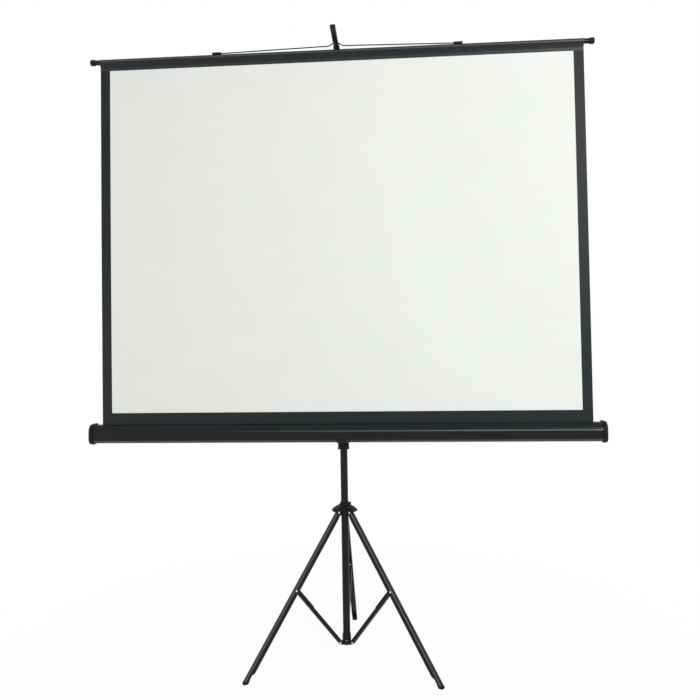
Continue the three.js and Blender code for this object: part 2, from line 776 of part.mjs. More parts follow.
const blockScrewZ = blockBottom + BLOCK_SCREW_RISE;

// Rounded block round the mast, with a lip at its foot and a boss for its lock screw at the back.
function slideBlock() {
  const slab = (grow, height) => {
    const x = BLOCK_WIDTH / 2 + grow;
    const back = blockBack + grow;
    const c = BLOCK_CORNER;
    const shape = new THREE.Shape();
    shape.moveTo(-x, blockFront);
    shape.lineTo(x, blockFront);
    shape.lineTo(x, back - c);
    shape.quadraticCurveTo(x, back, x - c, back);
    shape.lineTo(-x + c, back);
    shape.quadraticCurveTo(-x, back, -x, back - c);
    return extruded(shape, height);
  };
  const boss = ontoY(rod(LOCK_BOSS_R, blockBack - BLOCK_WALL / 2, blockBack + LOCK_BOSS, SMALL_ROUND));
  const body = join(slab(0, BLOCK_HEIGHT), slab(LIP, LIP_HEIGHT), boss.translate(0, 0, BLOCK_SCREW_RISE));
  const bore = rod(MAST_R + GAP, -OVERRUN, BLOCK_HEIGHT + OVERRUN);
  const screwHole = ontoY(rod(LOCK_SCREW_R + GAP, MAST_R, blockBack + LOCK_BOSS + OVERRUN, SMALL_ROUND));
  const boltHole = ontoY(rod(BOLT_R + GAP, blockFront - OVERRUN, blockFront + BOLT_DEPTH + GAP, SMALL_ROUND));
  return cut(
    body,
    bore,
    screwHole.translate(0, 0, BLOCK_SCREW_RISE),
    boltHole.translate(0, 0, caseZ - blockBottom),
  ).translate(0, 0, blockBottom);
}

// Strap that cradles the case: up its back, under it, and over its lower front chamfer.
function caseSaddle() {
  const inner = caseOutline(GAP);
  const outer = caseOutline(GAP + SADDLE);
  const top = caseZ + SADDLE_RISE;
  const insideTop = [inner.lowerBack[1][0], top];
  const outsideTop = [outer.lowerBack[1][0], top];
  const inside = [...inner.lowerFront, ...inner.lowerBack, insideTop];
  const outside = [...outer.lowerFront, ...outer.lowerBack, outsideTop];
  const strap = prismX(outlineShape([...outside, ...inside.reverse()]), -SADDLE_WIDTH / 2, SADDLE_WIDTH / 2);
  const boltHole = ontoY(rod(BOLT_R + GAP, caseBack - OVERRUN, blockFront + OVERRUN, SMALL_ROUND));
  const screwHole = rod(SCREW_R + GAP, -SADDLE - OVERRUN, OVERRUN, SMALL_ROUND);
  return cut(strap, boltHole.translate(0, 0, caseZ), screwHole.translate(0, caseY, CASE_BOTTOM_Z));
}

function saddleScrew() {
  const seat = CASE_BOTTOM_Z - GAP - SADDLE - GAP;
  const upright = screw(SCREW_R, SCREW_HEAD_R, SCREW_HEAD, SADDLE + CASE_WALL + SCREW_DEPTH);
  return upright.rotateX(Math.PI).translate(0, caseY, seat);
}

// Bolt from inside the case, through its back and the saddle, into the slide block.
function swivelBolt() {
  const seat = caseBack - CASE_WALL - GAP;
  const bolt = screw(BOLT_R, BOLT_HEAD_R, BOLT_HEAD, blockFront + BOLT_DEPTH - seat);
  return bolt.rotateX(Math.PI / 2).translate(0, seat, caseZ);
}

// A lug from a sleeve out to a leg or brace pivot, along +X; its root goes down to the end of the sleeve.
function lug(fromR, pivotR, width, down, up) {
  const shape = new THREE.Shape();
  shape.moveTo(fromR, -down);
  shape.lineTo(pivotR - LUG_ROOT, -down);
  shape.lineTo(pivotR, -LUG_HALF);
  shape.absarc(pivotR, 0, LUG_HALF, -Math.PI / 2, Math.PI / 2, false);
  shape.lineTo(pivotR, up);
  shape.lineTo(fromR, up);
  withHoles(shape, RIVET_R + GAP, [[pivotR, 0]]);
  return prismY(shape, -width / 2, width / 2);
}

const azimuths = Object.values(LEG_AZIMUTHS).map(THREE.MathUtils.degToRad);
const hubLugWidth = LEG_WIDTH - 2 * LEG_WALL - 2 * PIVOT_GAP;
const baseLugWidth = BRACE_WIDTH - 2 * BRACE_WALL - 2 * PIVOT_GAP;
const clampZ = HUB_UP - HUB_LIP / 2;

// Points of a swelling flare from a rim up to a neck.
function flare(rimR, rimZ, neckR, neckZ) {
  const pull = new THREE.Vector2(neckR + (rimR - neckR) * FLARE_SWELL, rimZ + (neckZ - rimZ) * FLARE_SWELL);
  const curve = new THREE.QuadraticBezierCurve(
    new THREE.Vector2(rimR, rimZ),
    pull,
    new THREE.Vector2(neckR, neckZ),
  );
  return curve.getPoints(FLARE_STEPS).map((point) => point.toArray());
}

// Sliding hub, made about its pivots' height: a sleeve with a conical collar, a lug for each leg, and
// a flared skirt over the legs that is hollowed between them.
function tripodHub() {
  const neckBottom = HUB_UP - HUB_LIP;
  const outline = [
    [MAST_R + GAP, -HUB_DOWN],
    [HUB_NECK_R, -HUB_DOWN],
    ...flare(SKIRT_R - SKIRT_WALL, SKIRT_BOTTOM, HUB_NECK_R, neckBottom - 2 * SKIRT_WALL).reverse(),
    [SKIRT_R, SKIRT_BOTTOM],
    ...flare(SKIRT_R, SKIRT_TOP, HUB_COLLAR_R - HUB_WAIST, neckBottom),
    [HUB_COLLAR_R, neckBottom],
    [HUB_TOP_R, HUB_UP],
    [MAST_R + GAP, HUB_UP],
    [MAST_R + GAP, -HUB_DOWN],
  ];
  const oneLug = () => lug(MAST_R + 2 * GAP, HUB_PIVOT_R, hubLugWidth, HUB_DOWN, HUB_LUG_UP);
  const lugs = azimuths.map((turn) => oneLug().rotateZ(turn));
  const bore = rod(MAST_R + GAP, -HUB_DOWN - OVERRUN, HUB_UP + OVERRUN);
  const boss = ontoX(rod(CLAMP_BOSS_R, MAST_R + 2 * GAP, HUB_COLLAR_R, SMALL_ROUND)).translate(0, 0, clampZ);
  const clampHole = ontoX(rod(CLAMP_SCREW_R + GAP, HUB_COLLAR_R - CLAMP_DEPTH - GAP, SKIRT_R, SMALL_ROUND));
  const scallops = azimuths.map((turn) => {
    const hollow = rod(SCALLOP_R, SKIRT_BOTTOM - OVERRUN, neckBottom, 2 * ROUND);
    return hollow.translate(-SCALLOP_IN - SCALLOP_R, 0, 0).rotateZ(turn);
  });
  return cut(join(turned(outline), boss, ...lugs), bore, clampHole.translate(0, 0, clampZ), ...scallops);
}

function hubClampScrew() {
  const one = ontoX(screw(CLAMP_SCREW_R, CLAMP_HEAD_R, CLAMP_HEAD, CLAMP_DEPTH));
  return one.translate(HUB_COLLAR_R + GAP, 0, clampZ);
}

// A rivet through both flanks of a leg.
function legRivet() {
  return ontoY(rivet(RIVET_R, RIVET_HEAD_R, RIVET_HEAD, LEG_WIDTH + 2 * GAP));
}

// Bracket riveted round the foot of the mast, with a lug for each brace.
function baseBracket() {
  const outline = [
    [MAST_R + GAP, -BASE_DOWN],
    [baseR, -BASE_DOWN],
    [baseR, BASE_SHOULDER],
    [MAST_R + GAP + BASE_TOP_WALL, BASE_UP],
    [MAST_R + GAP, BASE_UP],
    [MAST_R + GAP, -BASE_DOWN],
  ];
  const sleeve = turned(outline);
  const oneLug = () => lug(MAST_R + 2 * GAP, BASE_PIVOT_R, baseLugWidth, BASE_DOWN, BASE_LUG_UP);
  const lugs = azimuths.map((turn) => oneLug().rotateZ(turn));
  const bore = rod(MAST_R + GAP, -BASE_DOWN - OVERRUN, BASE_UP + OVERRUN);
  const rivetHole = ontoY(rod(RIVET_R + GAP, -baseR - OVERRUN, -MAST_R, SMALL_ROUND));
  return cut(join(sleeve, ...lugs), bore, rivetHole.translate(0, 0, BASE_RIVET_RISE));
}

function baseFixingRivet() {
  const one = screw(RIVET_R, BASE_RIVET_HEAD_R, RIVET_HEAD, BASE_WALL - GAP);
  return one.rotateX(Math.PI / 2).translate(0, -baseR - GAP, BASE_RIVET_RISE);
}

function mastBottomPlug() {
  const plugR = MAST_R - MAST_WALL - GAP;
  const outline = [
    [0, -GAP - MAST_ABOVE_BASE_END],
    [MAST_R, -GAP - MAST_ABOVE_BASE_END],
    [MAST_R, -GAP],
    [plugR, -GAP],
    [plugR, BOTTOM_PLUG],
    [0, BOTTOM_PLUG],
  ];
  return turned(outline).translate(0, 0, mastBottomZ);
}

// A channel from two like flanks and a web, about its pivot line; its web faces +X.
function channel(flank, width, wall, web) {
  const half = width / 2;
  const right = prismY(flank(), half - wall, half);
  const left = prismY(flank(), -half, -half + wall);
  return join(right, left, web);
}

// Leg from its hub pivot down -Z, open towards the mast.
function leg() {
  const end = -(LEG_LENGTH - LEG_TOE);
  const toeStart = -(LEG_LENGTH - TOE_START);
  const flank = () => {
    const shape = new THREE.Shape();
    shape.moveTo(LEG_OUT, end);
    shape.lineTo(LEG_OUT, 0);
    shape.absarc(0, 0, LEG_OUT, 0, Math.PI / 2, false);
    shape.absarc(0, LEG_OUT - LEG_TOP_R, LEG_TOP_R, Math.PI / 2, Math.PI, false);
    shape.lineTo(-LEG_IN, -LEG_THROAT);
    shape.lineTo(-LEG_IN, toeStart + TOE_CUT);
    shape.lineTo(-TOE_IN, toeStart);
    shape.lineTo(-TOE_IN, end);
    const pivots = [
      [0, 0],
      [0, -BRACE_ON_LEG],
    ];
    return withHoles(shape, RIVET_R + GAP, pivots);
  };
  const web = box([LEG_OUT - LEG_WALL, -LEG_WIDTH / 2, end], [LEG_OUT, LEG_WIDTH / 2, 0]);
  return channel(flank, LEG_WIDTH, LEG_WALL, web);
}

// Rubber foot plugged into the end of a leg, and cut by the floor.
function foot() {
  const half = LEG_WIDTH / 2;
  const end = -LEG_LENGTH;
  const shoe = box([-FOOT_IN, -half, end], [LEG_OUT, half, end + LEG_TOE - GAP]);
  const plugHalf = half - LEG_WALL - GAP;
  const plug = box(
    [-FOOT_IN, -plugHalf, end + LEG_TOE / 2],
    [LEG_OUT - LEG_WALL - GAP, plugHalf, end + FOOT_HEIGHT],
  );
  const ground = box([-LEG_LENGTH, -LEG_LENGTH, -LEG_LENGTH], [LEG_LENGTH, LEG_LENGTH, 0])
    .translate(0, 0, -hubZ)
    .rotateY(LEG_ANGLE);
  return cut(join(shoe, plug), ground);
}

// Brace from its base pivot up +Z, open towards the mast, with deeper flanks at the leg.
function brace() {
  const top = BRACE_LENGTH;
  const flank = () => {
    const shape = new THREE.Shape();
    shape.moveTo(BRACE_OUT, 0);
    shape.lineTo(BRACE_OUT, top - BRACE_END_TAPER);
    shape.lineTo(BRACE_END_R, top);
    shape.absarc(0, top, BRACE_END_R, 0, Math.PI, false);
    shape.lineTo(-BRACE_DEEP_IN, top - BRACE_DEEP_IN);
    shape.lineTo(-BRACE_DEEP_IN, BRACE_STEP + BRACE_STEP_RAMP);
    shape.lineTo(-BRACE_IN, BRACE_STEP);
    shape.lineTo(-BRACE_IN, BRACE_FOOT_TAPER);
    shape.lineTo(-BRACE_OUT, 0);
    shape.absarc(0, 0, BRACE_OUT, Math.PI, 2 * Math.PI, false);
    const pivots = [
      [0, 0],
      [0, top],
    ];
    return withHoles(shape, RIVET_R + GAP, pivots);
  };
  const half = BRACE_WIDTH / 2;
  const web = box([BRACE_OUT - BRACE_WALL, -half, 2 * BRACE_OUT], [BRACE_OUT, half, top - BRACE_END_TAPER]);
  return channel(flank, BRACE_WIDTH, BRACE_WALL, web);
}

// One end of a base rivet, which stops short of the lug inside the brace.
function braceStub(side) {
  const stub = screw(RIVET_R, RIVET_HEAD_R, RIVET_HEAD, BRACE_WALL + GAP);
  return ontoY(stub.translate(0, 0, BRACE_WIDTH / 2 + GAP)).rotateZ(side > 0 ? 0 : Math.PI);
}

// The assembly
const screen = new THREE.Group();

function add(name, geometry, material, parent = screen) {
  const mesh = new THREE.Mesh(closed(geometry), new THREE.MeshStandardMaterial(material));
  mesh.name = name;
  mesh.geometry.computeVertexNormals();
  parent.add(mesh);
}

function groupAt(x, z, tilt, parent = screen) {
  const group = new THREE.Group();
  group.position.set(x, 0, z);
  group.rotation.y = tilt;
  parent.add(group);
  return group;
}

// Mast and its fittings
add('mast_tube', pipe(MAST_R - MAST_WALL, MAST_R, mastBottomZ, MAST_TOP_Z), BLACK_PAINT);
add('mast_bottom_plug', mastBottomPlug(), BLACK_PLASTIC);
add('mast_top_collar', topCollar(), BLACK_PLASTIC);
add('extension_lock_knob', lockKnob(extensionR, collarR + LOCK_BOSS).translate(0, 0, lockZ), BLACK_PLASTIC);
add('extension_tube', extensionTube(), BLACK_PAINT);

// Tripod hub and base bracket
const hub = groupAt(0, hubZ, 0);
add('tripod_hub', tripodHub(), BLACK_PLASTIC, hub);
add('hub_clamp_screw', hubClampScrew(), BLACK_PAINT, hub);
const base = groupAt(0, baseZ, 0);
add('base_bracket', baseBracket(), BLACK_PAINT, base);
add('base_fixing_rivet', baseFixingRivet(), BRIGHT_STEEL, base);

// Legs, feet and braces
for (const [place, azimuth] of Object.entries(LEG_AZIMUTHS)) {
  const spoke = groupAt(0, 0, 0);
  spoke.rotation.z = THREE.MathUtils.degToRad(azimuth);
  const legGroup = groupAt(HUB_PIVOT_R, hubZ, -LEG_ANGLE, spoke);
  add(`${place}_hub_rivet`, legRivet().translate(HUB_PIVOT_R, 0, hubZ), BRIGHT_STEEL, spoke);
  add(`${place}_leg`, leg(), BLACK_PAINT, legGroup);
  add(`${place}_foot`, foot(), RUBBER, legGroup);
  add(`${place}_leg_rivet`, legRivet().translate(0, 0, -BRACE_ON_LEG), BRIGHT_STEEL, legGroup);
  const braceGroup = groupAt(BASE_PIVOT_R, baseZ, braceAngle, spoke);
  add(`${place}_brace`, brace(), BLACK_PAINT, braceGroup);
  add(`${place}_brace_rivet_left`, braceStub(1), BRIGHT_STEEL, braceGroup);
  add(`${place}_brace_rivet_right`, braceStub(-1), BRIGHT_STEEL, braceGroup);
}

// Case, its carriage and the roller
add('case_shell', caseShell(), BLACK_PAINT);
add('case_end_cap_left', endCap(-1, pinHole()), BLACK_PLASTIC);
add('case_end_cap_right', endCap(1, tangHole()), BLACK_PLASTIC);
for (const [end, side] of [['left', -1], ['right', 1]]) {
  add(`${end}_cap_upper_screw`, capScrew(side, 1), GREY_STEEL);
  add(`${end}_cap_lower_screw`, capScrew(side, -1), GREY_STEEL);
}
add('case_saddle', caseSaddle(), BLACK_PAINT);
add('saddle_screw', saddleScrew(), GREY_STEEL);
add('slide_block', slideBlock(), BLACK_PLASTIC);
add('swivel_bolt', swivelBolt(), GREY_STEEL);
add('case_lock_knob', lockKnob(MAST_R, blockBack + LOCK_BOSS).translate(0, 0, blockScrewZ), BLACK_PLASTIC);
add('roller_tube', alongRoller(ROLLER_R - ROLLER_WALL, ROLLER_R, -rollerHalf, rollerHalf), GREY_STEEL);
add('cloth_wraps', alongRoller(ROLLER_R + GAP, wrapsR, -clothHalf, clothHalf), WHITE_CLOTH);
add('roller_pin_plug', pinPlug(), BLACK_PLASTIC);
add('roller_spring_plug', springPlug(), BLACK_PLASTIC);
add('roller_spring', alongRoller(PIN_R + GAP, SPRING_R, springInnerEnd, springOuterEnd), GREY_STEEL);
add('spring_rod', springRod(), GREY_STEEL);

// Cloth, slat, bail and arm
add('screen_cloth', cloth(), WHITE_CLOTH);
add('slat_tube', slatTube(), BLACK_PAINT);
add('slat_knob_left', slatKnob(-1), BLACK_PLASTIC);
add('slat_knob_right', slatKnob(1), BLACK_PLASTIC);
add('bail_anchor_left', bailAnchor(-1), BLACK_PLASTIC);
add('bail_anchor_right', bailAnchor(1), BLACK_PLASTIC);
add('hanger_bail', hangerBail(), GREY_STEEL);
const armPivot = groupAt(0, armZ, 0);
add('arm_bracket', armBracket(), BLACK_PAINT, armPivot);
add('arm_pin', armPin(), BRIGHT_STEEL, armPivot);
const armGroup = groupAt(0, 0, 0, armPivot);
armGroup.rotation.x = -ARM_TILT;
add('keystone_arm', keystoneArm(), BLACK_PAINT, armGroup);

// The origin lies under the middle of the footprint, between the front feet and the rear foot.
const extent = new THREE.Box3().setFromObject(screen, true);
screen.position.y = -(extent.min.y + extent.max.y) / 2;
screen.updateMatrixWorld(true);

export default screen;
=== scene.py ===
import math

import bmesh
import bpy
from mathutils import Matrix, Vector


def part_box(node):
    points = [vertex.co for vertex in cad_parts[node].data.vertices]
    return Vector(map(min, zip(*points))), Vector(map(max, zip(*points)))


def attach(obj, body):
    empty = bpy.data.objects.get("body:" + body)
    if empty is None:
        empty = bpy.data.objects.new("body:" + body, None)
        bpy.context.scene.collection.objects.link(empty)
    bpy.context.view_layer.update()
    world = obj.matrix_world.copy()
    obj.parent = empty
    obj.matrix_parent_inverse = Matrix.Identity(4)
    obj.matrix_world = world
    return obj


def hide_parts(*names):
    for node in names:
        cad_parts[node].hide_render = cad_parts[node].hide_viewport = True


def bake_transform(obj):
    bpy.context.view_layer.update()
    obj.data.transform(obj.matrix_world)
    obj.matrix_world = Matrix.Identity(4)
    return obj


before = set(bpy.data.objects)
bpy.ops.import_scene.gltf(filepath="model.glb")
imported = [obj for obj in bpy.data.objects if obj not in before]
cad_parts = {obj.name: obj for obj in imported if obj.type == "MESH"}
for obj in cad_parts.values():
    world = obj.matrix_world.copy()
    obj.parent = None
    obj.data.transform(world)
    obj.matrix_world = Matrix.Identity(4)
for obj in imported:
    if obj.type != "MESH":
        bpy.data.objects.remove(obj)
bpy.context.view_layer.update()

# Mast: two steel tubes, one sliding in the other, cut from welded stock and powder coated black.
# The outer tube is riveted into the base bracket; the inner one carries the arm at its top.
MM = 0.001
SHARE, DARK, LIGHT, MIXED = 0, 6, 7, 2  # inputs and output of a Mix node for colours


def linear(hex_colour):
    """An sRGB hex colour as linear red, green, blue and alpha."""
    shares = [int(hex_colour[i : i + 2], 16) / 255 for i in (1, 3, 5)]
    return (*[c / 12.92 if c <= 0.04045 else ((c + 0.055) / 1.055) ** 2.4 for c in shares], 1.0)


def new_finish(name):
    """A new material, with its node tree and its shader."""
    finish = bpy.data.materials.new(name)
    finish.use_nodes = True
    return finish, finish.node_tree, finish.node_tree.nodes["Principled BSDF"]


def connect(node, inputs):
    """Sets each input of a node to a value, or links it to a socket."""
    for name, value in inputs.items():
        if isinstance(value, bpy.types.NodeSocket):
            node.id_data.links.new(value, node.inputs[name])
        else:
            node.inputs[name].default_value = value


def add_node(tree, kind, inputs=None, **settings):
    """A new node with its settings and its inputs."""
    made = tree.nodes.new(kind)
    for name, value in settings.items():
        setattr(made, name, value)
    connect(made, inputs or {})
    return made


# Black powder coat on steel: baked polyester with a fine orange peel, satin, a little cloudy.
powder_coat, tree, shader = new_finish("powder_coated_steel")
place = add_node(tree, "ShaderNodeTexCoord").outputs["Object"]
cloud = add_node(tree, "ShaderNodeTexNoise", {"Vector": place, "Scale": 1 / (45 * MM), "Detail": 4.0})
coat = add_node(
    tree, "ShaderNodeMix", {SHARE: cloud.outputs[0], DARK: linear("#101214"), LIGHT: linear("#181b1d")},
    data_type="RGBA",
)
peel = add_node(tree, "ShaderNodeTexNoise", {"Vector": place, "Scale": 1 / (1.6 * MM), "Detail": 2.0})
gloss = add_node(
    tree, "ShaderNodeMapRange",
    {"Value": cloud.outputs[0], "From Min": 0.3, "From Max": 0.7, "To Min": 0.26, "To Max": 0.36},
)
bump = add_node(tree, "ShaderNodeBump", {"Height": peel.outputs[0], "Strength": 0.12, "Distance": 0.2 * MM})
connect(shader, {
    "Base Color": coat.outputs[MIXED], "Roughness": gloss.outputs[0], "Normal": bump.outputs[0],
    "Specular IOR Level": 0.16,
})

MAST_WALL = 1.2
EXTENSION_WALL = 1.0
TUBE_EDGE = 0.4
EASED_SHARE = 0.45  # the most of a side that the curve at one of its ends takes
SHARP = math.radians(32)  # an edge that turns by more than this stays sharp
WELD = 1e-6  # points nearer than this, in metres, become one
mast_low, mast_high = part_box("mast_tube")
mast_y = (mast_low.y + mast_high.y) / 2
mast_radius = mast_high.x / MM


def shown(name, data):
    """A new object in the scene."""
    made = bpy.data.objects.new(name, data)
    bpy.context.scene.collection.objects.link(made)
    return made


def at(x, y, z):
    """A place in millimetres from the mast's axis at the floor."""
    return Matrix.Translation((x * MM, mast_y + y * MM, z * MM))


def limits(node):
    """The low and the high corner of a CAD solid, in millimetres from the mast's axis at the floor."""
    return [(corner.x / MM, (corner.y - mast_y) / MM, corner.z / MM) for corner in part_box(node)]


def curve(first, pull, last, steps):
    """Points of a curve from a first one to a last one, pulled towards a third."""
    shares = [k / steps for k in range(steps + 1)]
    return [tuple(first * (1 - t) ** 2 + pull * 2 * t * (1 - t) + last * t * t) for t in shares]


def eased(points, radius, loop=True, steps=3):
    """An outline or a route with each corner turned into a short curve."""
    smooth = []
    for i, point in enumerate(points):
        if not loop and i in (0, len(points) - 1):
            smooth.append(tuple(point))
            continue
        corner = Vector(point)
        before = Vector(points[i - 1]) - corner
        after = Vector(points[(i + 1) % len(points)]) - corner
        reach = min(radius, EASED_SHARE * before.length, EASED_SHARE * after.length)
        first = corner + before.normalized() * reach
        last = corner + after.normalized() * reach
        smooth += curve(first, corner, last, steps)
    return smooth


def loft(rings, capped=True):
    """A skin over rings of points, one ring joined to the next."""
    shape = bmesh.new()
    rows = [[shape.verts.new(point) for point in ring] for ring in rings]
    for low, high in zip(rows, rows[1:]):
        for i in range(len(low)):
            j = (i + 1) % len(low)
            shape.faces.new((low[i], low[j], high[j], high[i]))
    if capped:
        shape.faces.new(rows[0][::-1])
        shape.faces.new(rows[-1])
    return shape


def turned(outline, hollow=False, sides=48):
    """A body turned about Z from its radius and height outline; a hollow one is a closed outline."""
    rings = []
    for radius, height in outline:
        angles = [2 * math.pi * k / sides for k in range(sides)]
        rings.append([(radius * math.cos(a), radius * math.sin(a), height) for a in angles])
    return loft(rings + rings[:1] if hollow else rings, capped=not hollow)


def tube(radius, wall, low, high):
    """A tube along Z with eased ends."""
    outline = [(radius - wall, low), (radius, low), (radius, high), (radius - wall, high)]
    return turned(eased(outline, TUBE_EDGE), hollow=True)


def as_mesh(name, shape, sharp):
    """A mesh from a shape, smooth but for the edges that turn by more than an angle."""
    mesh = bpy.data.meshes.new(name)
    shape.to_mesh(mesh)
    shape.free()
    mesh.polygons.foreach_set("use_smooth", [True] * len(mesh.polygons))
    mesh.set_sharp_from_angle(angle=sharp)
    return mesh


def fit(name, shape, place, finish, body, slot, *nodes):
    """Makes a shape in millimetres, or one in metres that has no place, into a piece on its body."""
    if place is not None:
        shape.transform(place @ Matrix.Scale(MM, 4))
    bmesh.ops.remove_doubles(shape, verts=shape.verts, dist=WELD)
    bmesh.ops.recalc_face_normals(shape, faces=shape.faces)
    mesh = as_mesh(name, shape, SHARP)
    mesh.materials.append(finish)
    piece = shown(name, mesh)
    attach(piece, body)
    if nodes:
        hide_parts(*nodes)
    return piece


for name, node, wall, body in (
    ("mast_outer_tube", "mast_tube", MAST_WALL, "mast"),
    ("mast_inner_tube", "extension_tube", EXTENSION_WALL, "upper_mast"),
):
    (_, _, bottom), (radius, _, top) = limits(node)
    fit(name, tube(radius, wall, bottom, top), at(0, 0, 0), powder_coat, body, "black_paint", node)

# Mast fittings: a moulded bush on top of the outer tube, a moulded plug in its foot, and a lobed knob
# whose screw pinches the inner tube. The mouldings are ABS, the screw is zinc plated steel.
CAD_WELD = 1e-5  # as WELD, for the corners that the CAD solids' triangles share
FLAT = math.radians(1)  # faces that turn by less than this become one
PLUG_EDGE = 0.6
BUSH_EDGE = 0.8


def softened(node, edge):
    """A copy of a CAD solid, in metres, with its sharp edges rounded off by an amount in millimetres."""
    shape = bmesh.new()
    shape.from_mesh(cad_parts[node].data)
    bmesh.ops.remove_doubles(shape, verts=shape.verts, dist=CAD_WELD)
    bmesh.ops.dissolve_limit(shape, angle_limit=FLAT, verts=shape.verts, edges=shape.edges)
    corners = [e for e in shape.edges if len(e.link_faces) == 2 and e.calc_face_angle() > SHARP]
    bmesh.ops.bevel(
        shape, geom=corners, offset=edge * MM, segments=2, profile=0.6, affect="EDGES", clamp_overlap=True
    )
    return shape


def mottled_finish(name, patch, detail, colours, gloss, inputs):
    """A new material whose colour and roughness drift together, in patches of a size in millimetres."""
    finish, tree, shader = new_finish(name)
    place = add_node(tree, "ShaderNodeTexCoord").outputs["Object"]
    patches = {"Vector": place, "Scale": 1 / (patch * MM), "Detail": detail}
    drift = add_node(tree, "ShaderNodeTexNoise", patches).outputs[0]
    mix = {SHARE: drift, DARK: linear(colours[0]), LIGHT: linear(colours[1])}
    tint = add_node(tree, "ShaderNodeMix", mix, data_type="RGBA")
    dull = add_node(tree, "ShaderNodeMapRange", {"Value": drift, "To Min": gloss[0], "To Max": gloss[1]})
    connect(shader, {"Base Color": tint.outputs[MIXED], "Roughness": dull.outputs[0], **inputs})
    return finish


# Injection-moulded ABS: dull black, with a spark-eroded grain that breaks up what shine it has.
abs_plastic, tree, shader = new_finish("moulded_abs")
place = add_node(tree, "ShaderNodeTexCoord").outputs["Object"]
# The grain is about 0.3 mm on the real moulding, drawn at 1.2 mm so that it shows.
grain = add_node(tree, "ShaderNodeTexVoronoi", {"Vector": place, "Scale": 1 / (1.2 * MM)})
flow = add_node(tree, "ShaderNodeTexNoise", {"Vector": place, "Scale": 1 / (30 * MM), "Detail": 3.0})
tint = add_node(
    tree, "ShaderNodeMix", {SHARE: flow.outputs[0], DARK: linear("#0f1112"), LIGHT: linear("#171a1c")},
    data_type="RGBA",
)
gloss = add_node(tree, "ShaderNodeMapRange", {"Value": flow.outputs[0], "To Min": 0.42, "To Max": 0.6})
bump = add_node(tree, "ShaderNodeBump", {"Height": grain.outputs[0], "Strength": 0.15, "Distance": 0.15 * MM})
connect(shader, {
    "Base Color": tint.outputs[MIXED], "Roughness": gloss.outputs[0], "Normal": bump.outputs[0],
    "Specular IOR Level": 0.14,
})

# Bright zinc plate on steel: pale and shiny, with a faint spangle.
zinc = mottled_finish(
    "bright_zinc_plated_steel", patch=2, detail=3.0, colours=("#c6cacd", "#e8eaeb"), gloss=(0.2, 0.36),
    inputs={"Metallic": 1.0},
)

for name, node, edge in (
    ("mast_foot_plug", "mast_bottom_plug", PLUG_EDGE),
    ("mast_top_bush", "mast_top_collar", BUSH_EDGE),
):
    fit(name, softened(node, edge), None, abs_plastic, "mast", "black_plastic", node)

KNOB_LOBES = 6
KNOB_LOBE_DEPTH = 1.6
KNOB_POINTS = 72
KNOB_HEIGHT = 14
# Height above the seat and share of the full radius: rounded rim, flank, rounded shoulder, dished top.
KNOB_RINGS = (
    (0, 0.84), (0.5, 0.9), (1.6, 0.98), (3, 1), (10.5, 1), (12.6, 0.96), (13.6, 0.88), (14, 0.78), (14, 0.5),
    (13.2, 0.44),
)
PINCH_SCREW = 2.5
PINCH_POINT = 0.6
PINCH_IN_KNOB = 1
SCREW_SIDES = 24
TOWARDS_BACK = Matrix.Rotation(-math.pi / 2, 4, "X")


def lobed_knob(name, node, body):
    """A knob with six finger lobes, a rounded rim and a dished top, on its pinch screw."""
    (_, tip, bottom), (radius, back, top) = limits(node)
    seat = back - KNOB_HEIGHT
    height = (bottom + top) / 2
    rings = []
    for rise, share in KNOB_RINGS:
        ring = []
        for k in range(KNOB_POINTS):
            angle = 2 * math.pi * k / KNOB_POINTS
            lobe = share * (radius - KNOB_LOBE_DEPTH * (1 - math.cos(KNOB_LOBES * angle)) / 2)
            ring.append((lobe * math.cos(angle), lobe * math.sin(angle), rise))
        rings.append(ring)
    fit(name, loft(rings), at(0, seat, height) @ TOWARDS_BACK, abs_plastic, body, "black_plastic", node)
    shank = [
        (PINCH_SCREW - PINCH_POINT, tip), (PINCH_SCREW, tip + PINCH_POINT),
        (PINCH_SCREW, seat + PINCH_IN_KNOB),
    ]
    screw = turned(shank, sides=SCREW_SIDES)
    fit(name + "_screw", screw, at(0, 0, height) @ TOWARDS_BACK, zinc, body, "bright_steel")


lobed_knob("extension_pinch_knob", "extension_lock_knob", "extension_lock")

# Base bracket: a pressed steel sleeve with three welded lugs for the braces, on the foot of the mast.
# One rivet through its front holds it. Powder coated after welding.
BRACKET_EDGE = 0.5
bracket = softened("base_bracket", BRACKET_EDGE)
fit("foot_bracket", bracket, None, powder_coat, "mast", "black_paint", "base_bracket")

# Drawn mild steel: a grey metal left bare, with a film of oil that clouds it.
plain_steel = mottled_finish(
    "drawn_mild_steel", patch=6, detail=4.0, colours=("#5b5d60", "#85888b"), gloss=(0.3, 0.5),
    inputs={"Metallic": 1.0},
)

# Shares of the radius and of the height of a domed rivet head, from its rim to its top.
RIVET_DOME = ((1.0, 0), (0.97, 0.35), (0.85, 0.7), (0.62, 0.92), (0.3, 1.0))
RIVET_HEAD = 1.6
RIVET_SIDES = 32
SHANK_RADIUS = 2.4
BASE_SHANK = 3.4
TOWARDS_FRONT = Matrix.Rotation(math.pi / 2, 4, "X")


def rivet_head(radius, base, up=1):
    """The outline of a domed rivet head that stands on a height."""
    return [(radius * share, base + up * RIVET_HEAD * rise) for share, rise in RIVET_DOME]


def headed_rivet(radius, depth):
    """A rivet along Z with its head on z = 0 and its shank below."""
    return turned([(SHANK_RADIUS, -depth), (SHANK_RADIUS, 0)] + rivet_head(radius, 0), sides=RIVET_SIDES)


(left, front, bottom), (right, _, top) = limits("base_fixing_rivet")
rivet = headed_rivet((right - left) / 2, BASE_SHANK)
seat = at(0, front + RIVET_HEAD, (bottom + top) / 2) @ TOWARDS_FRONT
fit("foot_bracket_rivet", rivet, seat, plain_steel, "mast", "bright_steel", "base_fixing_rivet")


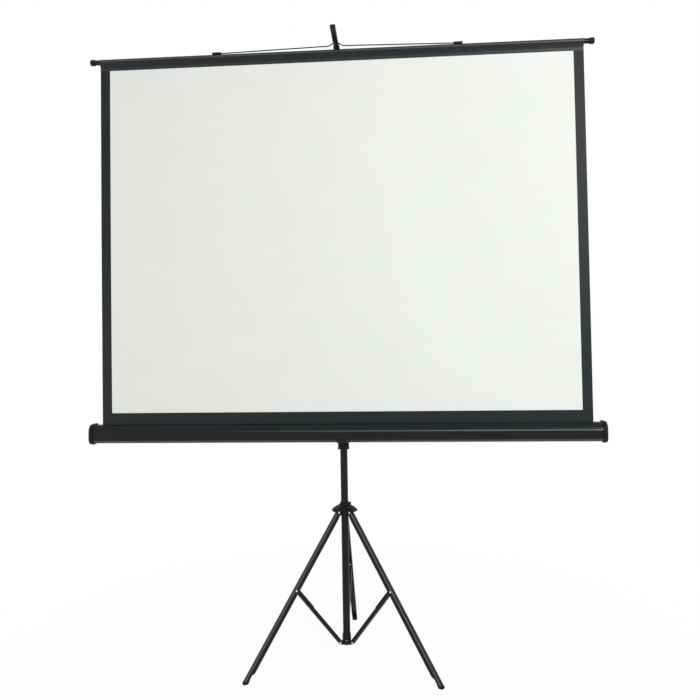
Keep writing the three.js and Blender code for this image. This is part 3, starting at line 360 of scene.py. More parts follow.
# Hub: one ABS moulding that slides on the mast, with a collar at its neck, a domed skirt over the tops of the
# legs, scalloped between them, and a lug for each leg. A black screw in the collar takes up its slack.
def combined(shape, tool, operation):
    """One closed shape from two, in millimetres: their union, the rest after a cut, or what they share."""
    pair = []
    for source in (shape, tool):
        bmesh.ops.recalc_face_normals(source, faces=source.faces)
        mesh = bpy.data.meshes.new("part")
        source.to_mesh(mesh)
        source.free()
        pair.append(shown("part", mesh))
    change = pair[0].modifiers.new("change", "BOOLEAN")
    change.operation = operation
    change.solver = "EXACT"
    change.object = pair[1]
    bpy.context.view_layer.update()
    result = bmesh.new()
    result.from_object(pair[0], bpy.context.evaluated_depsgraph_get())
    for part in pair:
        bpy.data.meshes.remove(part.data)
    return result


def prism(outline, low, high):
    """A plate of an (x, z) outline, from one y to another."""
    return loft([[(x, y, z) for x, z in outline] for y in (low, high)])


def round_end(centre, radius, first, last, steps=10):
    """Points of an arc in the (x, z) plane, from one angle in degrees to another."""
    angles = [math.radians(first + (last - first) * k / steps) for k in range(steps + 1)]
    return [(centre[0] + radius * math.cos(a), centre[1] + radius * math.sin(a)) for a in angles]


# Heights are from the rivets that the legs hang on.
HUB_UP = 36.5
HUB_DOWN = -11
HUB_SLACK = 0.3
HUB_PIVOT = 27
HUB_NECK = 16.4
HUB_COLLAR = 19
HUB_TOP = 14.8
HUB_EDGE = 0.7
SKIRT = 47.3
SKIRT_FOOT = 5
SKIRT_BEAD = 9
SKIRT_WALL = 2
SHOULDER = 26.5
SHOULDER_WALL = 4
COLLAR_STEP = 1
COLLAR_LOW = 0.5
COLLAR_HIGH = 1.5
SWELL = 0.7
DOME_STEPS = 14
SCALLOP = 30
SCALLOP_OUT = 51
LUG_INSIDE = 14.2
LUG_HALF = 7.9
LUG_FOOT = 20
LUG_TOP = 20
LUG_ROUND = 3.5
BOSS_RADIUS = 4.6
BOSS_EDGE = 0.5
CUT_PAST = 5  # how far a cutting shape reaches past what it cuts
LEG_TURNS = {"rear": 90, "front_left": 210, "front_right": 330}  # degrees about the mast from +X
TOWARDS_RIGHT = Matrix.Rotation(math.pi / 2, 4, "Y")
hub_bore = mast_radius + HUB_SLACK
hub_z = limits("tripod_hub")[1][2] - HUB_UP


def dome(rim, rim_z, neck, neck_z):
    """Points of a swelling curve from a rim up to a neck."""
    pull = Vector((neck + (rim - neck) * SWELL, rim_z + (neck_z - rim_z) * SWELL))
    return curve(Vector((rim, rim_z)), pull, Vector((neck, neck_z)), DOME_STEPS)


hub_outline = [
    (hub_bore, HUB_DOWN), (HUB_NECK, HUB_DOWN),
    *dome(SKIRT - SKIRT_WALL, SKIRT_FOOT, HUB_NECK, SHOULDER - SHOULDER_WALL)[::-1],
    (SKIRT, SKIRT_FOOT),
    *dome(SKIRT, SKIRT_BEAD, HUB_COLLAR - COLLAR_STEP, SHOULDER),
    (HUB_COLLAR, SHOULDER + COLLAR_LOW), (HUB_COLLAR, SHOULDER + COLLAR_HIGH),
    (HUB_TOP, HUB_UP), (hub_bore, HUB_UP),
]
hub = turned(eased(hub_outline, HUB_EDGE, steps=2), hollow=True, sides=96)
lug_outline = [
    (LUG_INSIDE, HUB_DOWN), (LUG_FOOT, HUB_DOWN), *round_end((HUB_PIVOT, 0), LUG_ROUND, -90, 90),
    (HUB_PIVOT, LUG_TOP), (LUG_INSIDE, LUG_TOP),
]
for turn in LEG_TURNS.values():
    about = Matrix.Rotation(math.radians(turn), 4, "Z")
    lug = prism(lug_outline, -LUG_HALF, LUG_HALF)
    lug.transform(about)
    hub = combined(hub, lug, "UNION")
    hollow = turned([(SCALLOP, SKIRT_FOOT - CUT_PAST), (SCALLOP, SHOULDER)], sides=120)
    hollow.transform(about @ Matrix.Translation((-SCALLOP_OUT, 0, 0)))
    hub = combined(hub, hollow, "DIFFERENCE")
(_, _, clamp_low), (clamp_end, _, clamp_high) = limits("hub_clamp_screw")
clamp_z = (clamp_low + clamp_high) / 2
boss_outline = [
    (BOSS_RADIUS, LUG_INSIDE), (BOSS_RADIUS, HUB_COLLAR - BOSS_EDGE), (BOSS_RADIUS - BOSS_EDGE, HUB_COLLAR)
]
boss = turned(boss_outline, sides=RIVET_SIDES)
boss.transform(Matrix.Translation((0, 0, clamp_z - hub_z)) @ TOWARDS_RIGHT)
hub = combined(hub, boss, "UNION")
fit("sliding_hub", hub, at(0, 0, hub_z), abs_plastic, "hub", "black_plastic", "tripod_hub")

CLAMP_HEAD = 4.5
# Radius and height of the screw: its shank, its head, and the recess in the head's top.
CLAMP_OUTLINE = [(2, -4), (2, 0), (4, 0), (4, 3.6), (3.3, CLAMP_HEAD), (2.1, CLAMP_HEAD), (2.1, 2.4)]
clamp = turned(CLAMP_OUTLINE, sides=SCREW_SIDES)
seat = at(clamp_end - CLAMP_HEAD, 0, clamp_z) @ TOWARDS_RIGHT
fit("hub_take_up_screw", clamp, seat, powder_coat, "hub", "black_paint", "hub_clamp_screw")

# Legs: roll-formed steel channels, open towards the mast, with rounded tops hung on the hub by rivets and
# an oblique cut at the toe. A second rivet half-way down takes the brace. Powder coated.
LEG_ANGLE = math.radians(33.8)
LEG_LENGTH = 657
LEG_HALF = 10
LEG_WALL = 1.5
LEG_BEND = 3
LEG_OUT = 6
LEG_IN = -11
LEG_RIVET = -306
# Heights of the channel's cuts, down from the rivet at its top.
LEG_END = -643
LEG_TOP_DROP = -3
LEG_TOP_ROUND = 9
LEG_FLANK_TOP = -30
LEG_FLANK_END = -604
LEG_TOE = -615
LEG_TOE_IN = -5
RIVET_HEAD_RADIUS = 3.6
RIVET_SLACK = 0.3
BEND_FACING = 0.15  # least share of a bend's normal towards the outside and towards a side
BEND_ALONG = 0.1  # most of it along the channel


def channel_section(half, inside, outside, wall, bend):
    """The outline of a U-shaped channel whose web is at its outside."""
    web, flank = outside - wall, half - wall
    outer = [(inside, -half), (outside, -half), (outside, half), (inside, half)]
    inner = [(inside, flank), (web, flank), (web, -flank), (inside, -flank)]
    return eased(outer + inner, bend)


def cut_channel(section, side_view, half):
    """A length of channel cut to its outline as seen from the side."""
    heights = [z for _, z in side_view]
    ends = min(heights) - CUT_PAST, max(heights) + CUT_PAST
    bar = loft([[(x, y, end) for x, y in section] for end in ends])
    return combined(bar, prism(side_view, -half - CUT_PAST, half + CUT_PAST), "INTERSECT")


def through_rivet(half, shank=SHANK_RADIUS, head=RIVET_HEAD_RADIUS):
    """A rivet along Z with a domed head at each end."""
    outline = rivet_head(head, -half, -1)[::-1] + [(shank, -half), (shank, half)] + rivet_head(head, half)
    return turned(outline, sides=RIVET_SIDES)


def spoke(turn, out, height):
    """A place out from the mast's axis and up from the floor, turned about the axis by degrees."""
    about = Matrix.Rotation(math.radians(turn), 4, "Z")
    return at(0, 0, 0) @ about @ Matrix.Translation((out * MM, 0, height * MM))


# Painted highlight: a glossier, more reflective copy of the paint for the bends along the outside of the legs
# and braces, so that they shine in a narrow line.
highlight_paint = mottled_finish(
    "paint_with_painted_highlight", patch=14, detail=4.0, colours=("#121618", "#1d2224"), gloss=(0.1, 0.2),
    inputs={"Specular IOR Level": 1.0},
)


def give_painted_sheen(piece, finish, picked):
    """Gives a second finish, for a painted highlight or reflection, to the faces of a piece that a test of
    their middle and normal picks.
    """
    piece.data.materials.append(finish)
    for face in piece.data.polygons:
        if picked(face.center, face.normal):
            face.material_index = len(piece.data.materials) - 1


def outside_bend(place):
    """A test for the bends along the outside of a channel in its place."""
    turn_back = place.to_3x3().inverted()

    def picked(_, normal):
        facing = turn_back @ normal
        return facing.x > BEND_FACING and abs(facing.y) > BEND_FACING and abs(facing.z) < BEND_ALONG

    return picked


# Moulded rubber of the feet: matt, a little bloomed, with dust in its pores.
foot_rubber, tree, shader = new_finish("moulded_rubber")
place = add_node(tree, "ShaderNodeTexCoord").outputs["Object"]
bloom = add_node(tree, "ShaderNodeTexNoise", {"Vector": place, "Scale": 1 / (9 * MM), "Detail": 5.0})
tint = add_node(
    tree, "ShaderNodeMix", {SHARE: bloom.outputs[0], DARK: linear("#151515"), LIGHT: linear("#272727")},
    data_type="RGBA",
)
pores = add_node(tree, "ShaderNodeTexNoise", {"Vector": place, "Scale": 1 / (0.8 * MM), "Detail": 2.0})
bump = add_node(tree, "ShaderNodeBump", {"Height": pores.outputs[0], "Strength": 0.2, "Distance": 0.2 * MM})
connect(shader, {
    "Base Color": tint.outputs[MIXED], "Normal": bump.outputs[0], "Roughness": 0.85,
    "Specular IOR Level": 0.12,
})

FOOT_INSIDE = -9
# Height above the end of the leg and inset of the outline: a rounded end, and a rounded edge at the top.
SHOE_RINGS = ((0, 3.2), (0.5, 2.0), (1.4, 1.0), (2.8, 0.3), (4.2, 0), (13, 0), (13.7, 0.5))
SHOE_CORNER = 3.5
PLUG_RINGS = ((6, 0), (21, 0), (23.4, 0.6), (25.2, 1.9), (26, 3.6))
PLUG_CORNER = 2
PLUG_SLACK = 0.3


def moulded(rings, outside, half, corner):
    """A moulding of rounded rectangles up the leg, from the foot's inside to an outside."""
    stack = []
    for rise, inset in rings:
        inner, outer, side = FOOT_INSIDE + inset, outside - inset, half - inset
        outline = eased([(inner, -side), (outer, -side), (outer, side), (inner, side)], corner)
        stack.append([(x, y, rise - LEG_LENGTH) for x, y in outline])
    return loft(stack)


def plugged_foot(place):
    """A rubber shoe on the end of a leg with a plug up into its channel, cut level by the floor."""
    inset = LEG_WALL + PLUG_SLACK
    plug = moulded(PLUG_RINGS, LEG_OUT - inset, LEG_HALF - inset, PLUG_CORNER)
    shape = combined(moulded(SHOE_RINGS, LEG_OUT, LEG_HALF, SHOE_CORNER), plug, "UNION")
    shape.transform(place @ Matrix.Scale(MM, 4))
    everything = shape.verts[:] + shape.edges[:] + shape.faces[:]
    bmesh.ops.bisect_plane(shape, geom=everything, plane_co=(0, 0, 0), plane_no=(0, 0, 1), clear_inner=True)
    bmesh.ops.holes_fill(shape, edges=[e for e in shape.edges if e.is_boundary])
    return shape


leg_section = channel_section(LEG_HALF, LEG_IN, LEG_OUT, LEG_WALL, LEG_BEND)
leg_side = [
    (LEG_OUT, LEG_END), *round_end((0, 0), LEG_OUT, 0, 90)[:-1],
    *round_end((0, LEG_TOP_DROP), LEG_TOP_ROUND, 90, 180), (LEG_IN, LEG_FLANK_TOP), (LEG_IN, LEG_FLANK_END),
    (LEG_TOE_IN, LEG_TOE), (LEG_TOE_IN, LEG_END),
]
ACROSS = Matrix.Rotation(math.pi / 2, 4, "X")
for side, turn in LEG_TURNS.items():
    hung = spoke(turn, HUB_PIVOT, hub_z)
    tilted = hung @ Matrix.Rotation(-LEG_ANGLE, 4, "Y")
    half_way = tilted @ Matrix.Translation((0, 0, LEG_RIVET * MM))
    body = side + "_leg"
    leg = cut_channel(leg_section, leg_side, LEG_HALF)
    channel = fit(side + "_leg_channel", leg, tilted, powder_coat, body, "black_paint", body)
    # Painted highlight along the channel's outside bends.
    give_painted_sheen(channel, highlight_paint, outside_bend(tilted))
    rivet = through_rivet(LEG_HALF + RIVET_SLACK)
    fit(side + "_leg_top_rivet", rivet, hung @ ACROSS, zinc, "hub", "bright_steel", side + "_hub_rivet")
    rivet = through_rivet(LEG_HALF + RIVET_SLACK)
    fit(side + "_leg_brace_rivet", rivet, half_way @ ACROSS, zinc, body, "bright_steel", side + "_leg_rivet")
    fit(side + "_leg_boot", plugged_foot(tilted), None, foot_rubber, body, "rubber", side + "_foot")

# Braces: lighter steel channels from the legs' rivets to the lugs of the base bracket, with deeper flanks
# along the half next to the leg, and forked ends. Powder coated.
BRACE_LENGTH = 273
BRACE_HALF = 6.5
BRACE_WALL = 1.2
BRACE_BEND = 1.8
BRACE_OUT = 5.2
BRACE_DEEP = -11.5
BRACE_SHALLOW = -9.5
BRACE_PIVOT = 28.7
BASE_LUG_RISE = 9.5  # from the bottom of the base bracket to its rivets
BRACE_TOP_CUT = 16
BRACE_TOP_ROUND = 4
BRACE_FLANK_CUT = 11.5
BRACE_STEP_HIGH = 182
BRACE_STEP_LOW = 176
BRACE_FLANK_END = 9
BRACE_SHANK = 1.5
FORK_HALF = 5.3
FORK_DEEP = 10.4
FORK_PAST = 20
FORK_INSIDE, FORK_OUTSIDE = 3, 12
base_z = limits("base_bracket")[0][2] + BASE_LUG_RISE
leg_rivet_out = HUB_PIVOT - LEG_RIVET * math.sin(LEG_ANGLE)
brace_angle = math.asin((leg_rivet_out - BRACE_PIVOT) / BRACE_LENGTH)
brace_section = channel_section(BRACE_HALF, BRACE_DEEP, BRACE_OUT, BRACE_WALL, BRACE_BEND)
brace_side = [
    (BRACE_OUT, 0), (BRACE_OUT, BRACE_LENGTH - BRACE_TOP_CUT),
    *round_end((0, BRACE_LENGTH), BRACE_TOP_ROUND, 0, 180),
    (BRACE_DEEP, BRACE_LENGTH - BRACE_FLANK_CUT), (BRACE_DEEP, BRACE_STEP_HIGH),
    (BRACE_SHALLOW, BRACE_STEP_LOW), (BRACE_SHALLOW, BRACE_FLANK_END),
    *round_end((0, 0), BRACE_OUT, 180, 350),
]
forks = (-FORK_PAST, FORK_DEEP), (BRACE_LENGTH - BRACE_TOP_CUT, BRACE_LENGTH + FORK_PAST)
for side, turn in LEG_TURNS.items():
    leaning = spoke(turn, BRACE_PIVOT, base_z) @ Matrix.Rotation(brace_angle, 4, "Y")
    body = side + "_brace"
    brace = cut_channel(brace_section, brace_side, BRACE_HALF)
    for low, high in forks:
        outline = [(FORK_INSIDE, low), (FORK_OUTSIDE, low), (FORK_OUTSIDE, high), (FORK_INSIDE, high)]
        brace = combined(brace, prism(outline, -FORK_HALF, FORK_HALF), "DIFFERENCE")
    channel = fit(side + "_brace_channel", brace, leaning, powder_coat, body, "black_paint", body)
    # Painted highlight along the channel's outside bends.
    give_painted_sheen(channel, highlight_paint, outside_bend(leaning))
    for hand, way in (("left", -1), ("right", 1)):
        rivet = headed_rivet(RIVET_HEAD_RADIUS, BRACE_SHANK)
        outwards = Matrix.Rotation(way * math.pi / 2, 4, "X")
        seat = leaning @ outwards @ Matrix.Translation((0, 0, (BRACE_HALF + RIVET_SLACK) * MM))
        name = f"{side}_brace_foot_rivet_{hand}"
        fit(name, rivet, seat, zinc, body, "bright_steel", f"{side}_brace_rivet_{hand}")

# Carriage of the case: an ABS block that slides on the mast and is pinched by a knob at its back, and a bent
# steel saddle under the case, held by the bolt that the case swivels on and by one screw from below.
for name, node, edge, finish, slot in (
    ("sliding_block", "slide_block", 1.0, abs_plastic, "black_plastic"),
    ("case_cradle", "case_saddle", 0.4, powder_coat, "black_paint"),
):
    fit(name, softened(node, edge), None, finish, "case", slot, node)
lobed_knob("case_pinch_knob", "case_lock_knob", "case_lock")

PAN_SHANK = 1.6
PAN_HEIGHT = 1.8
PAN_HEAD = ((3.2, 0), (3.15, 0.8), (2.7, 1.5), (1.9, PAN_HEIGHT))
CROSS_REACH = 2
CROSS_HALF = 0.5
CROSS_FLOOR, CROSS_ABOVE = 0.8, 3
SADDLE_SHANK = 7
BOLT_EDGE = 0.5


def cross_screw(depth):
    """A pan-head screw with a cross recess, its head on z = 0 and its shank down."""
    screw = turned([(PAN_SHANK, -depth), (PAN_SHANK, 0), *PAN_HEAD], sides=SCREW_SIDES)
    for x, y in ((CROSS_REACH, CROSS_HALF), (CROSS_HALF, CROSS_REACH)):
        outline = [(-x, CROSS_FLOOR), (x, CROSS_FLOOR), (x, CROSS_ABOVE), (-x, CROSS_ABOVE)]
        screw = combined(screw, prism(outline, -y, y), "DIFFERENCE")
    return screw


(_, front, bottom), (_, back, _) = limits("saddle_screw")
seat = at(0, (front + back) / 2, bottom + PAN_HEIGHT) @ Matrix.Rotation(math.pi, 4, "X")
fit("cradle_screw", cross_screw(SADDLE_SHANK), seat, plain_steel, "case", "grey_steel", "saddle_screw")
bolt = softened("swivel_bolt", BOLT_EDGE)
fit("swivel_bolt_head", bolt, None, plain_steel, "case", "grey_steel", "swivel_bolt")

# Case: a steel sheet folded along its length to a chamfered tube with a slot along its top for the cloth,
# a bead rolled along its front to stiffen it, and the slot's edges turned in. Enamelled black.
CASE_DEPTH = 65
SHEET_STEEL = 1.0
CASE_BEND = 2.5
UPPER_CHAMFER = 14
LOWER_CHAMFER = 11
BEAD_TOP = 20
BEAD_HEIGHT = 5
BEAD_OUT = 2
BEAD_SLOPE = 1.8
BEAD_MARGIN = 1  # how far past the bead's height its bends reach
BEAD_STANDS = 0.3  # a face of the bead is at least this far out of the front
CHAMFER_FACING = -0.95, -0.3  # share of a lower chamfer's normal that points up
SLOT_HALF = 6
SLOT_LIP = 4
MITRE = 0.5  # keeps the sides of a folded sheet from reaching far out at a sharp corner
(_, _, case_bottom), (case_half, case_back, case_top) = limits("case_shell")
(_, cloth_front, cloth_foot), (cloth_half, cloth_back, _) = limits("screen_cloth")
case_front = case_back - CASE_DEPTH
sheet_y = (cloth_front + cloth_back) / 2


def case_ring(grow):
    """The case's outline in (y, z), grown by an amount, from the front of its top round to the back."""
    slant = grow * (2 - math.sqrt(2))
    upper, lower = UPPER_CHAMFER + slant, LOWER_CHAMFER + slant
    front, back, bottom, top = case_front - grow, case_back + grow, case_bottom - grow, case_top + grow
    return [
        (front + upper, top), (front, top - upper), (front, bottom + lower), (front + lower, bottom),
        (back - lower, bottom), (back, bottom + lower), (back, top - upper), (back - upper, top),
    ]


def ribbon(route, thickness):
    """The two sides of a route that has been given a thickness."""
    left, right = [], []
    for i, point in enumerate(route):
        here = Vector(point)
        before = (here - Vector(route[i - 1])).normalized() if i else None
        after = (Vector(route[i + 1]) - here).normalized() if i < len(route) - 1 else None
        before, after = before or after, after or before
        along = (before + after).normalized()
        reach = thickness / 2 / max(MITRE, along.dot(before))
        aside = Vector((-along.y, along.x)) * reach
        left.append(tuple(here + aside))
        right.append(tuple(here - aside))
    return left, right


# Enamel on the folded sheet: smoother than powder coat, with faint streaks along its length.
enamel, tree, shader = new_finish("enamelled_sheet_steel")
place = add_node(tree, "ShaderNodeTexCoord").outputs["Object"]
stretch = add_node(
    tree, "ShaderNodeMapping", {"Vector": place, "Scale": (1 / (400 * MM), 1 / (12 * MM), 1 / (12 * MM))}
)
streak = add_node(tree, "ShaderNodeTexNoise", {"Vector": stretch.outputs[0], "Scale": 1.0, "Detail": 5.0})
coat = add_node(
    tree, "ShaderNodeMix", {SHARE: streak.outputs[0], DARK: linear("#0f1416"), LIGHT: linear("#181d20")},
    data_type="RGBA",
)
gloss = add_node(
    tree, "ShaderNodeMapRange",
    {"Value": streak.outputs[0], "From Min": 0.3, "From Max": 0.7, "To Min": 0.17, "To Max": 0.26},
)
peel = add_node(tree, "ShaderNodeTexNoise", {"Vector": place, "Scale": 1 / (4 * MM), "Detail": 2.0})
bump = add_node(tree, "ShaderNodeBump", {"Height": peel.outputs[0], "Strength": 0.08, "Distance": 0.2 * MM})
connect(shader, {
    "Base Color": coat.outputs[MIXED], "Roughness": gloss.outputs[0], "Normal": bump.outputs[0],
    "Specular IOR Level": 0.16,
})

# Painted reflection: the lower chamfers get a more reflective copy of the enamel, which stands in for the
# light they catch from the floor.
reflection_enamel = enamel.copy()
reflection_enamel.name = "enamel_painted_floor_reflection"
connect(reflection_enamel.node_tree.nodes["Principled BSDF"], {"Specular IOR Level": 0.55})

# Painted highlight: the bead gets a clear coat that grows from hardly any at its left to the most at its
# right, standing in for the lamp's reflection, which is brightest at the right.
highlight_enamel = enamel.copy()
highlight_enamel.name = "enamel_painted_highlight"
tree = highlight_enamel.node_tree
shader = tree.nodes["Principled BSDF"]
place = add_node(tree, "ShaderNodeTexCoord").outputs["Object"]
along = add_node(tree, "ShaderNodeSeparateXYZ", {"Vector": place})
ends = {"Value": along.outputs["X"], "From Min": -0.5, "From Max": 0.55}
highlight_fade = add_node(tree, "ShaderNodeMapRange", ends)
connect(shader, {"Coat Weight": highlight_fade.outputs[0], "Coat Roughness": 0.12, "Coat IOR": 2.0})

middle = case_ring(-SHEET_STEEL / 2)
bead_back = case_front + SHEET_STEEL / 2
bead_front = bead_back - BEAD_OUT
bead_top = case_top - BEAD_TOP
bead_foot = bead_top - BEAD_HEIGHT
slot_top = case_top - SHEET_STEEL / 2
fold = [
    (sheet_y - SLOT_HALF, slot_top - SLOT_LIP), (sheet_y - SLOT_HALF, slot_top), *middle[:2],
    (bead_back, bead_top), (bead_front, bead_top - BEAD_SLOPE), (bead_front, bead_foot + BEAD_SLOPE),
    (bead_back, bead_foot), *middle[2:],
    (sheet_y + SLOT_HALF, slot_top), (sheet_y + SLOT_HALF, slot_top - SLOT_LIP),
]
left, right = ribbon(eased(fold, CASE_BEND, loop=False), SHEET_STEEL)
shape = loft([[(x, y, z) for y, z in left + right[::-1]] for x in (-case_half, case_half)])
folded_case = fit("folded_case", shape, at(0, 0, 0), enamel, "case", "black_paint", "case_shell")


def on_bead(middle, _):
    """Whether a face is on the outside of the bead."""
    in_height = bead_foot - BEAD_MARGIN < middle.z / MM < bead_top + BEAD_MARGIN
    return in_height and (middle.y - mast_y) / MM < case_front - BEAD_STANDS


def on_lower_chamfer(middle, normal):
    """Whether a face is on the outside of a lower chamfer."""
    return middle.z / MM < case_bottom + LOWER_CHAMFER and CHAMFER_FACING[0] < normal.z < CHAMFER_FACING[1]


# Painted highlight on the bead.
give_painted_sheen(folded_case, highlight_enamel, on_bead)
# Painted reflection on the lower chamfers.
give_painted_sheen(folded_case, reflection_enamel, on_lower_chamfer)

# End caps: ABS mouldings pushed over the ends of the case and screwed on, with a rounded rim and a panel
# sunk into the outside. They carry the roller between them.
CAP_LENGTH = 14
CAP_CORNER = 4.0
CAP_LEAST_CORNER = 1.0
CAP_SCREW_RISE = 24
CAP_SCREW_SUNK = 0.5
CAP_SHANK = 4
# Distance out from the open end and growth of the outline: inside of the skirt, rim, outside, sunk panel.
CAP_RINGS = (
    (8, 0.3), (0.6, 0.3), (0, 0.9), (0, 4.4), (0.6, 5.2), (1.4, 5.5), (4.6, 5.5), (5.6, 5.1), (6.2, 4.2),
    (10.4, 4.0), (12.4, 3.5), (13.5, 2.6), (14, 1.2), (14, -2.4), (13.7, -2.8), (13.5, -3.2),
)
case_y, case_z = (case_front + case_back) / 2, (case_top + case_bottom) / 2
for hand, way in (("left", -1), ("right", 1)):
    node = "case_end_cap_" + hand
    outside = max(way * corner[0] for corner in limits(node))
    rings = []
    for out, grow in CAP_RINGS:
        ring = eased(case_ring(grow), max(CAP_LEAST_CORNER, CAP_CORNER + grow))
        rings.append([(way * (outside - CAP_LENGTH + out), y, z) for y, z in ring])
    fit(f"moulded_cap_{hand}", loft(rings), at(0, 0, 0), abs_plastic, "case", "black_plastic", node)
    outwards = Matrix.Rotation(way * math.pi / 2, 4, "Y")
    for level, rise in (("upper", CAP_SCREW_RISE), ("lower", -CAP_SCREW_RISE)):
        seat = at(way * (outside - CAP_SCREW_SUNK), case_y, case_z + rise) @ outwards
        screw = cross_screw(CAP_SHANK)
        node = f"{hand}_cap_{level}_screw"
        fit(f"cap_screw_{hand}_{level}", screw, seat, plain_steel, "case", "grey_steel", node)

# Roller: a steel tube in the case on two plugs. The left one turns on a pin in its cap; the right one turns
# on a fixed rod, and a spring between them winds the cloth back in.
ROLLER_EDGE = 0.4
for name, node, finish, body, slot in (
    ("roller_steel_tube", "roller_tube", plain_steel, "roller", "grey_steel"),
    ("roller_pin_end", "roller_pin_plug", abs_plastic, "roller", "black_plastic"),
    ("roller_spring_end", "roller_spring_plug", abs_plastic, "roller", "black_plastic"),
    ("roller_return_spring", "roller_spring", plain_steel, "roller", "grey_steel"),
    ("roller_fixed_rod", "spring_rod", plain_steel, "case", "grey_steel"),
):
    fit(name, softened(node, ROLLER_EDGE), None, finish, body, slot, node)

# Cloth: matt white vinyl on a glass-fibre weave, printed with a black border and backed with black.
# Its top is folded round the slat and welded into a pocket; its foot is wound on the roller.
VIEW_WIDTH = 1707
VIEW_HEIGHT = 1280
LOWER_BORDER = 44
CLOTH = 0.5
CLOTH_SHARP = math.radians(50)
POCKET = 10.1
POCKET_STEPS = 24
SEAM_DROP = 22
SEAM_WIDTH = 4
HEM = 13
HEM_START = 1
HEM_GAP = 0.65
BELOW_SLOT, ABOVE_SLOT, BORDER_START = -6, 4, 20  # rows near the top of the case
BORDER_STEPS = 2
VIEW_ROWS = 40
VIEW_COLUMNS = 48
NEAR = 1  # a row this near to an edge of the white area is on it
RIPPLE = 0.9
LONG_WAVE, SHORT_WAVE, WAVE_SLANT = 137, 61, 420
WAVE_START = 0.6
SHORT_SHARE = 0.6
EDGE_LIFT = 1.6
EDGE_POWER = 6
(_, _, slat_low), (slat_half, _, slat_high) = limits("slat_tube")
slat_z = (slat_low + slat_high) / 2
view_half = VIEW_WIDTH / 2
view_low = case_top + LOWER_BORDER
view_high = view_low + VIEW_HEIGHT
seam = slat_z - SEAM_DROP
lean = math.asin(POCKET / SEAM_DROP)


def between(first, last, count):
    """Evenly spaced values from one to another, both included."""
    return [first + (last - first) * k / count for k in range(count + 1)]


heights = [
    cloth_foot, case_top + BELOW_SLOT, case_top + ABOVE_SLOT,
    *between(case_top + BORDER_START, view_low, BORDER_STEPS),
    *between(view_low, view_high, VIEW_ROWS)[1:], seam - SEAM_WIDTH, seam,
]
up = [(sheet_y, z) for z in heights]
over = []
for angle in between(math.pi + lean, -lean, POCKET_STEPS):
    over.append((sheet_y + POCKET * math.cos(angle), slat_z + POCKET * math.sin(angle)))
down = [(sheet_y + HEM_GAP, seam - HEM_START), (sheet_y + HEM_GAP, seam - HEM)]
route = up + over + down
travelled = [0.0]
for a, b in zip(route, route[1:]):
    travelled.append(travelled[-1] + math.dist(a, b))
front_side, back_side = ribbon(route, CLOTH)
columns = [
    *between(-cloth_half, -view_half, BORDER_STEPS), *between(-view_half, view_half, VIEW_COLUMNS)[1:],
    *between(view_half, cloth_half, BORDER_STEPS)[1:],
]


def ripple(x, z):
    """How far the cloth stands out of its plane: faint upright waves that die out at slat and case."""
    if not case_top < z < seam:
        return 0.0
    share = (z - case_top) / (seam - case_top)
    edge = abs(x) / cloth_half
    wave = math.sin(x / LONG_WAVE + WAVE_START) + SHORT_SHARE * math.sin(x / SHORT_WAVE + z / WAVE_SLANT)
    return RIPPLE * (wave + EDGE_LIFT * edge**EDGE_POWER) * math.sin(math.pi * share)


cloth = bmesh.new()
metres = cloth.loops.layers.uv.new("metres")
grid = {}
for i, x in enumerate(columns):
    for j in range(len(route)):
        for face, side in ((0, front_side), (1, back_side)):
            y, z = side[j]
            grid[i, j, face] = cloth.verts.new((x, y - ripple(x, z), z))
WHITE, BORDER, BACKING, WELD_SHEEN, SLAT_HIGHLIGHT = range(5)
SLAT_HIGHLIGHT_STEPS = range(2, 5)  # steps of the pocket's front that get a painted highlight, where the cloth passes over the slat


def patch(*corners, finish):
    """One face of the cloth, with its place on the flat cloth in metres as its texture place."""
    made = cloth.faces.new([grid[c] for c in corners])
    made.material_index = finish
    for loop, (i, j, _) in zip(made.loops, corners):
        loop[metres].uv = (columns[i] * MM, travelled[j] * MM)


last_i, last_j = len(columns) - 1, len(route) - 1
for i in range(last_i):
    within = abs(columns[i] + columns[i + 1]) / 2 < view_half
    for j in range(last_j):
        height = route[j][1]
        face = BORDER
        if j >= len(up) - 1:
            # Painted highlight on the pocket's front over the slat.
            if j - len(up) in SLAT_HIGHLIGHT_STEPS:
                face = SLAT_HIGHLIGHT
        # Painted sheen on the band of border along the weld.
        elif height > view_high - NEAR:
            face = WELD_SHEEN
        elif within and height > view_low - NEAR:
            face = WHITE
        patch((i, j, 0), (i + 1, j, 0), (i + 1, j + 1, 0), (i, j + 1, 0), finish=face)
        patch((i, j, 1), (i, j + 1, 1), (i + 1, j + 1, 1), (i + 1, j, 1), finish=BACKING)
for j in range(last_j):
    patch((0, j, 0), (0, j + 1, 0), (0, j + 1, 1), (0, j, 1), finish=BORDER)
    patch((last_i, j, 0), (last_i, j, 1), (last_i, j + 1, 1), (last_i, j + 1, 0), finish=BORDER)
for i in range(last_i):
    patch((i, 0, 0), (i, 0, 1), (i + 1, 0, 1), (i + 1, 0, 0), finish=BORDER)
    patch((i, last_j, 0), (i + 1, last_j, 0), (i + 1, last_j, 1), (i, last_j, 1), finish=BORDER)
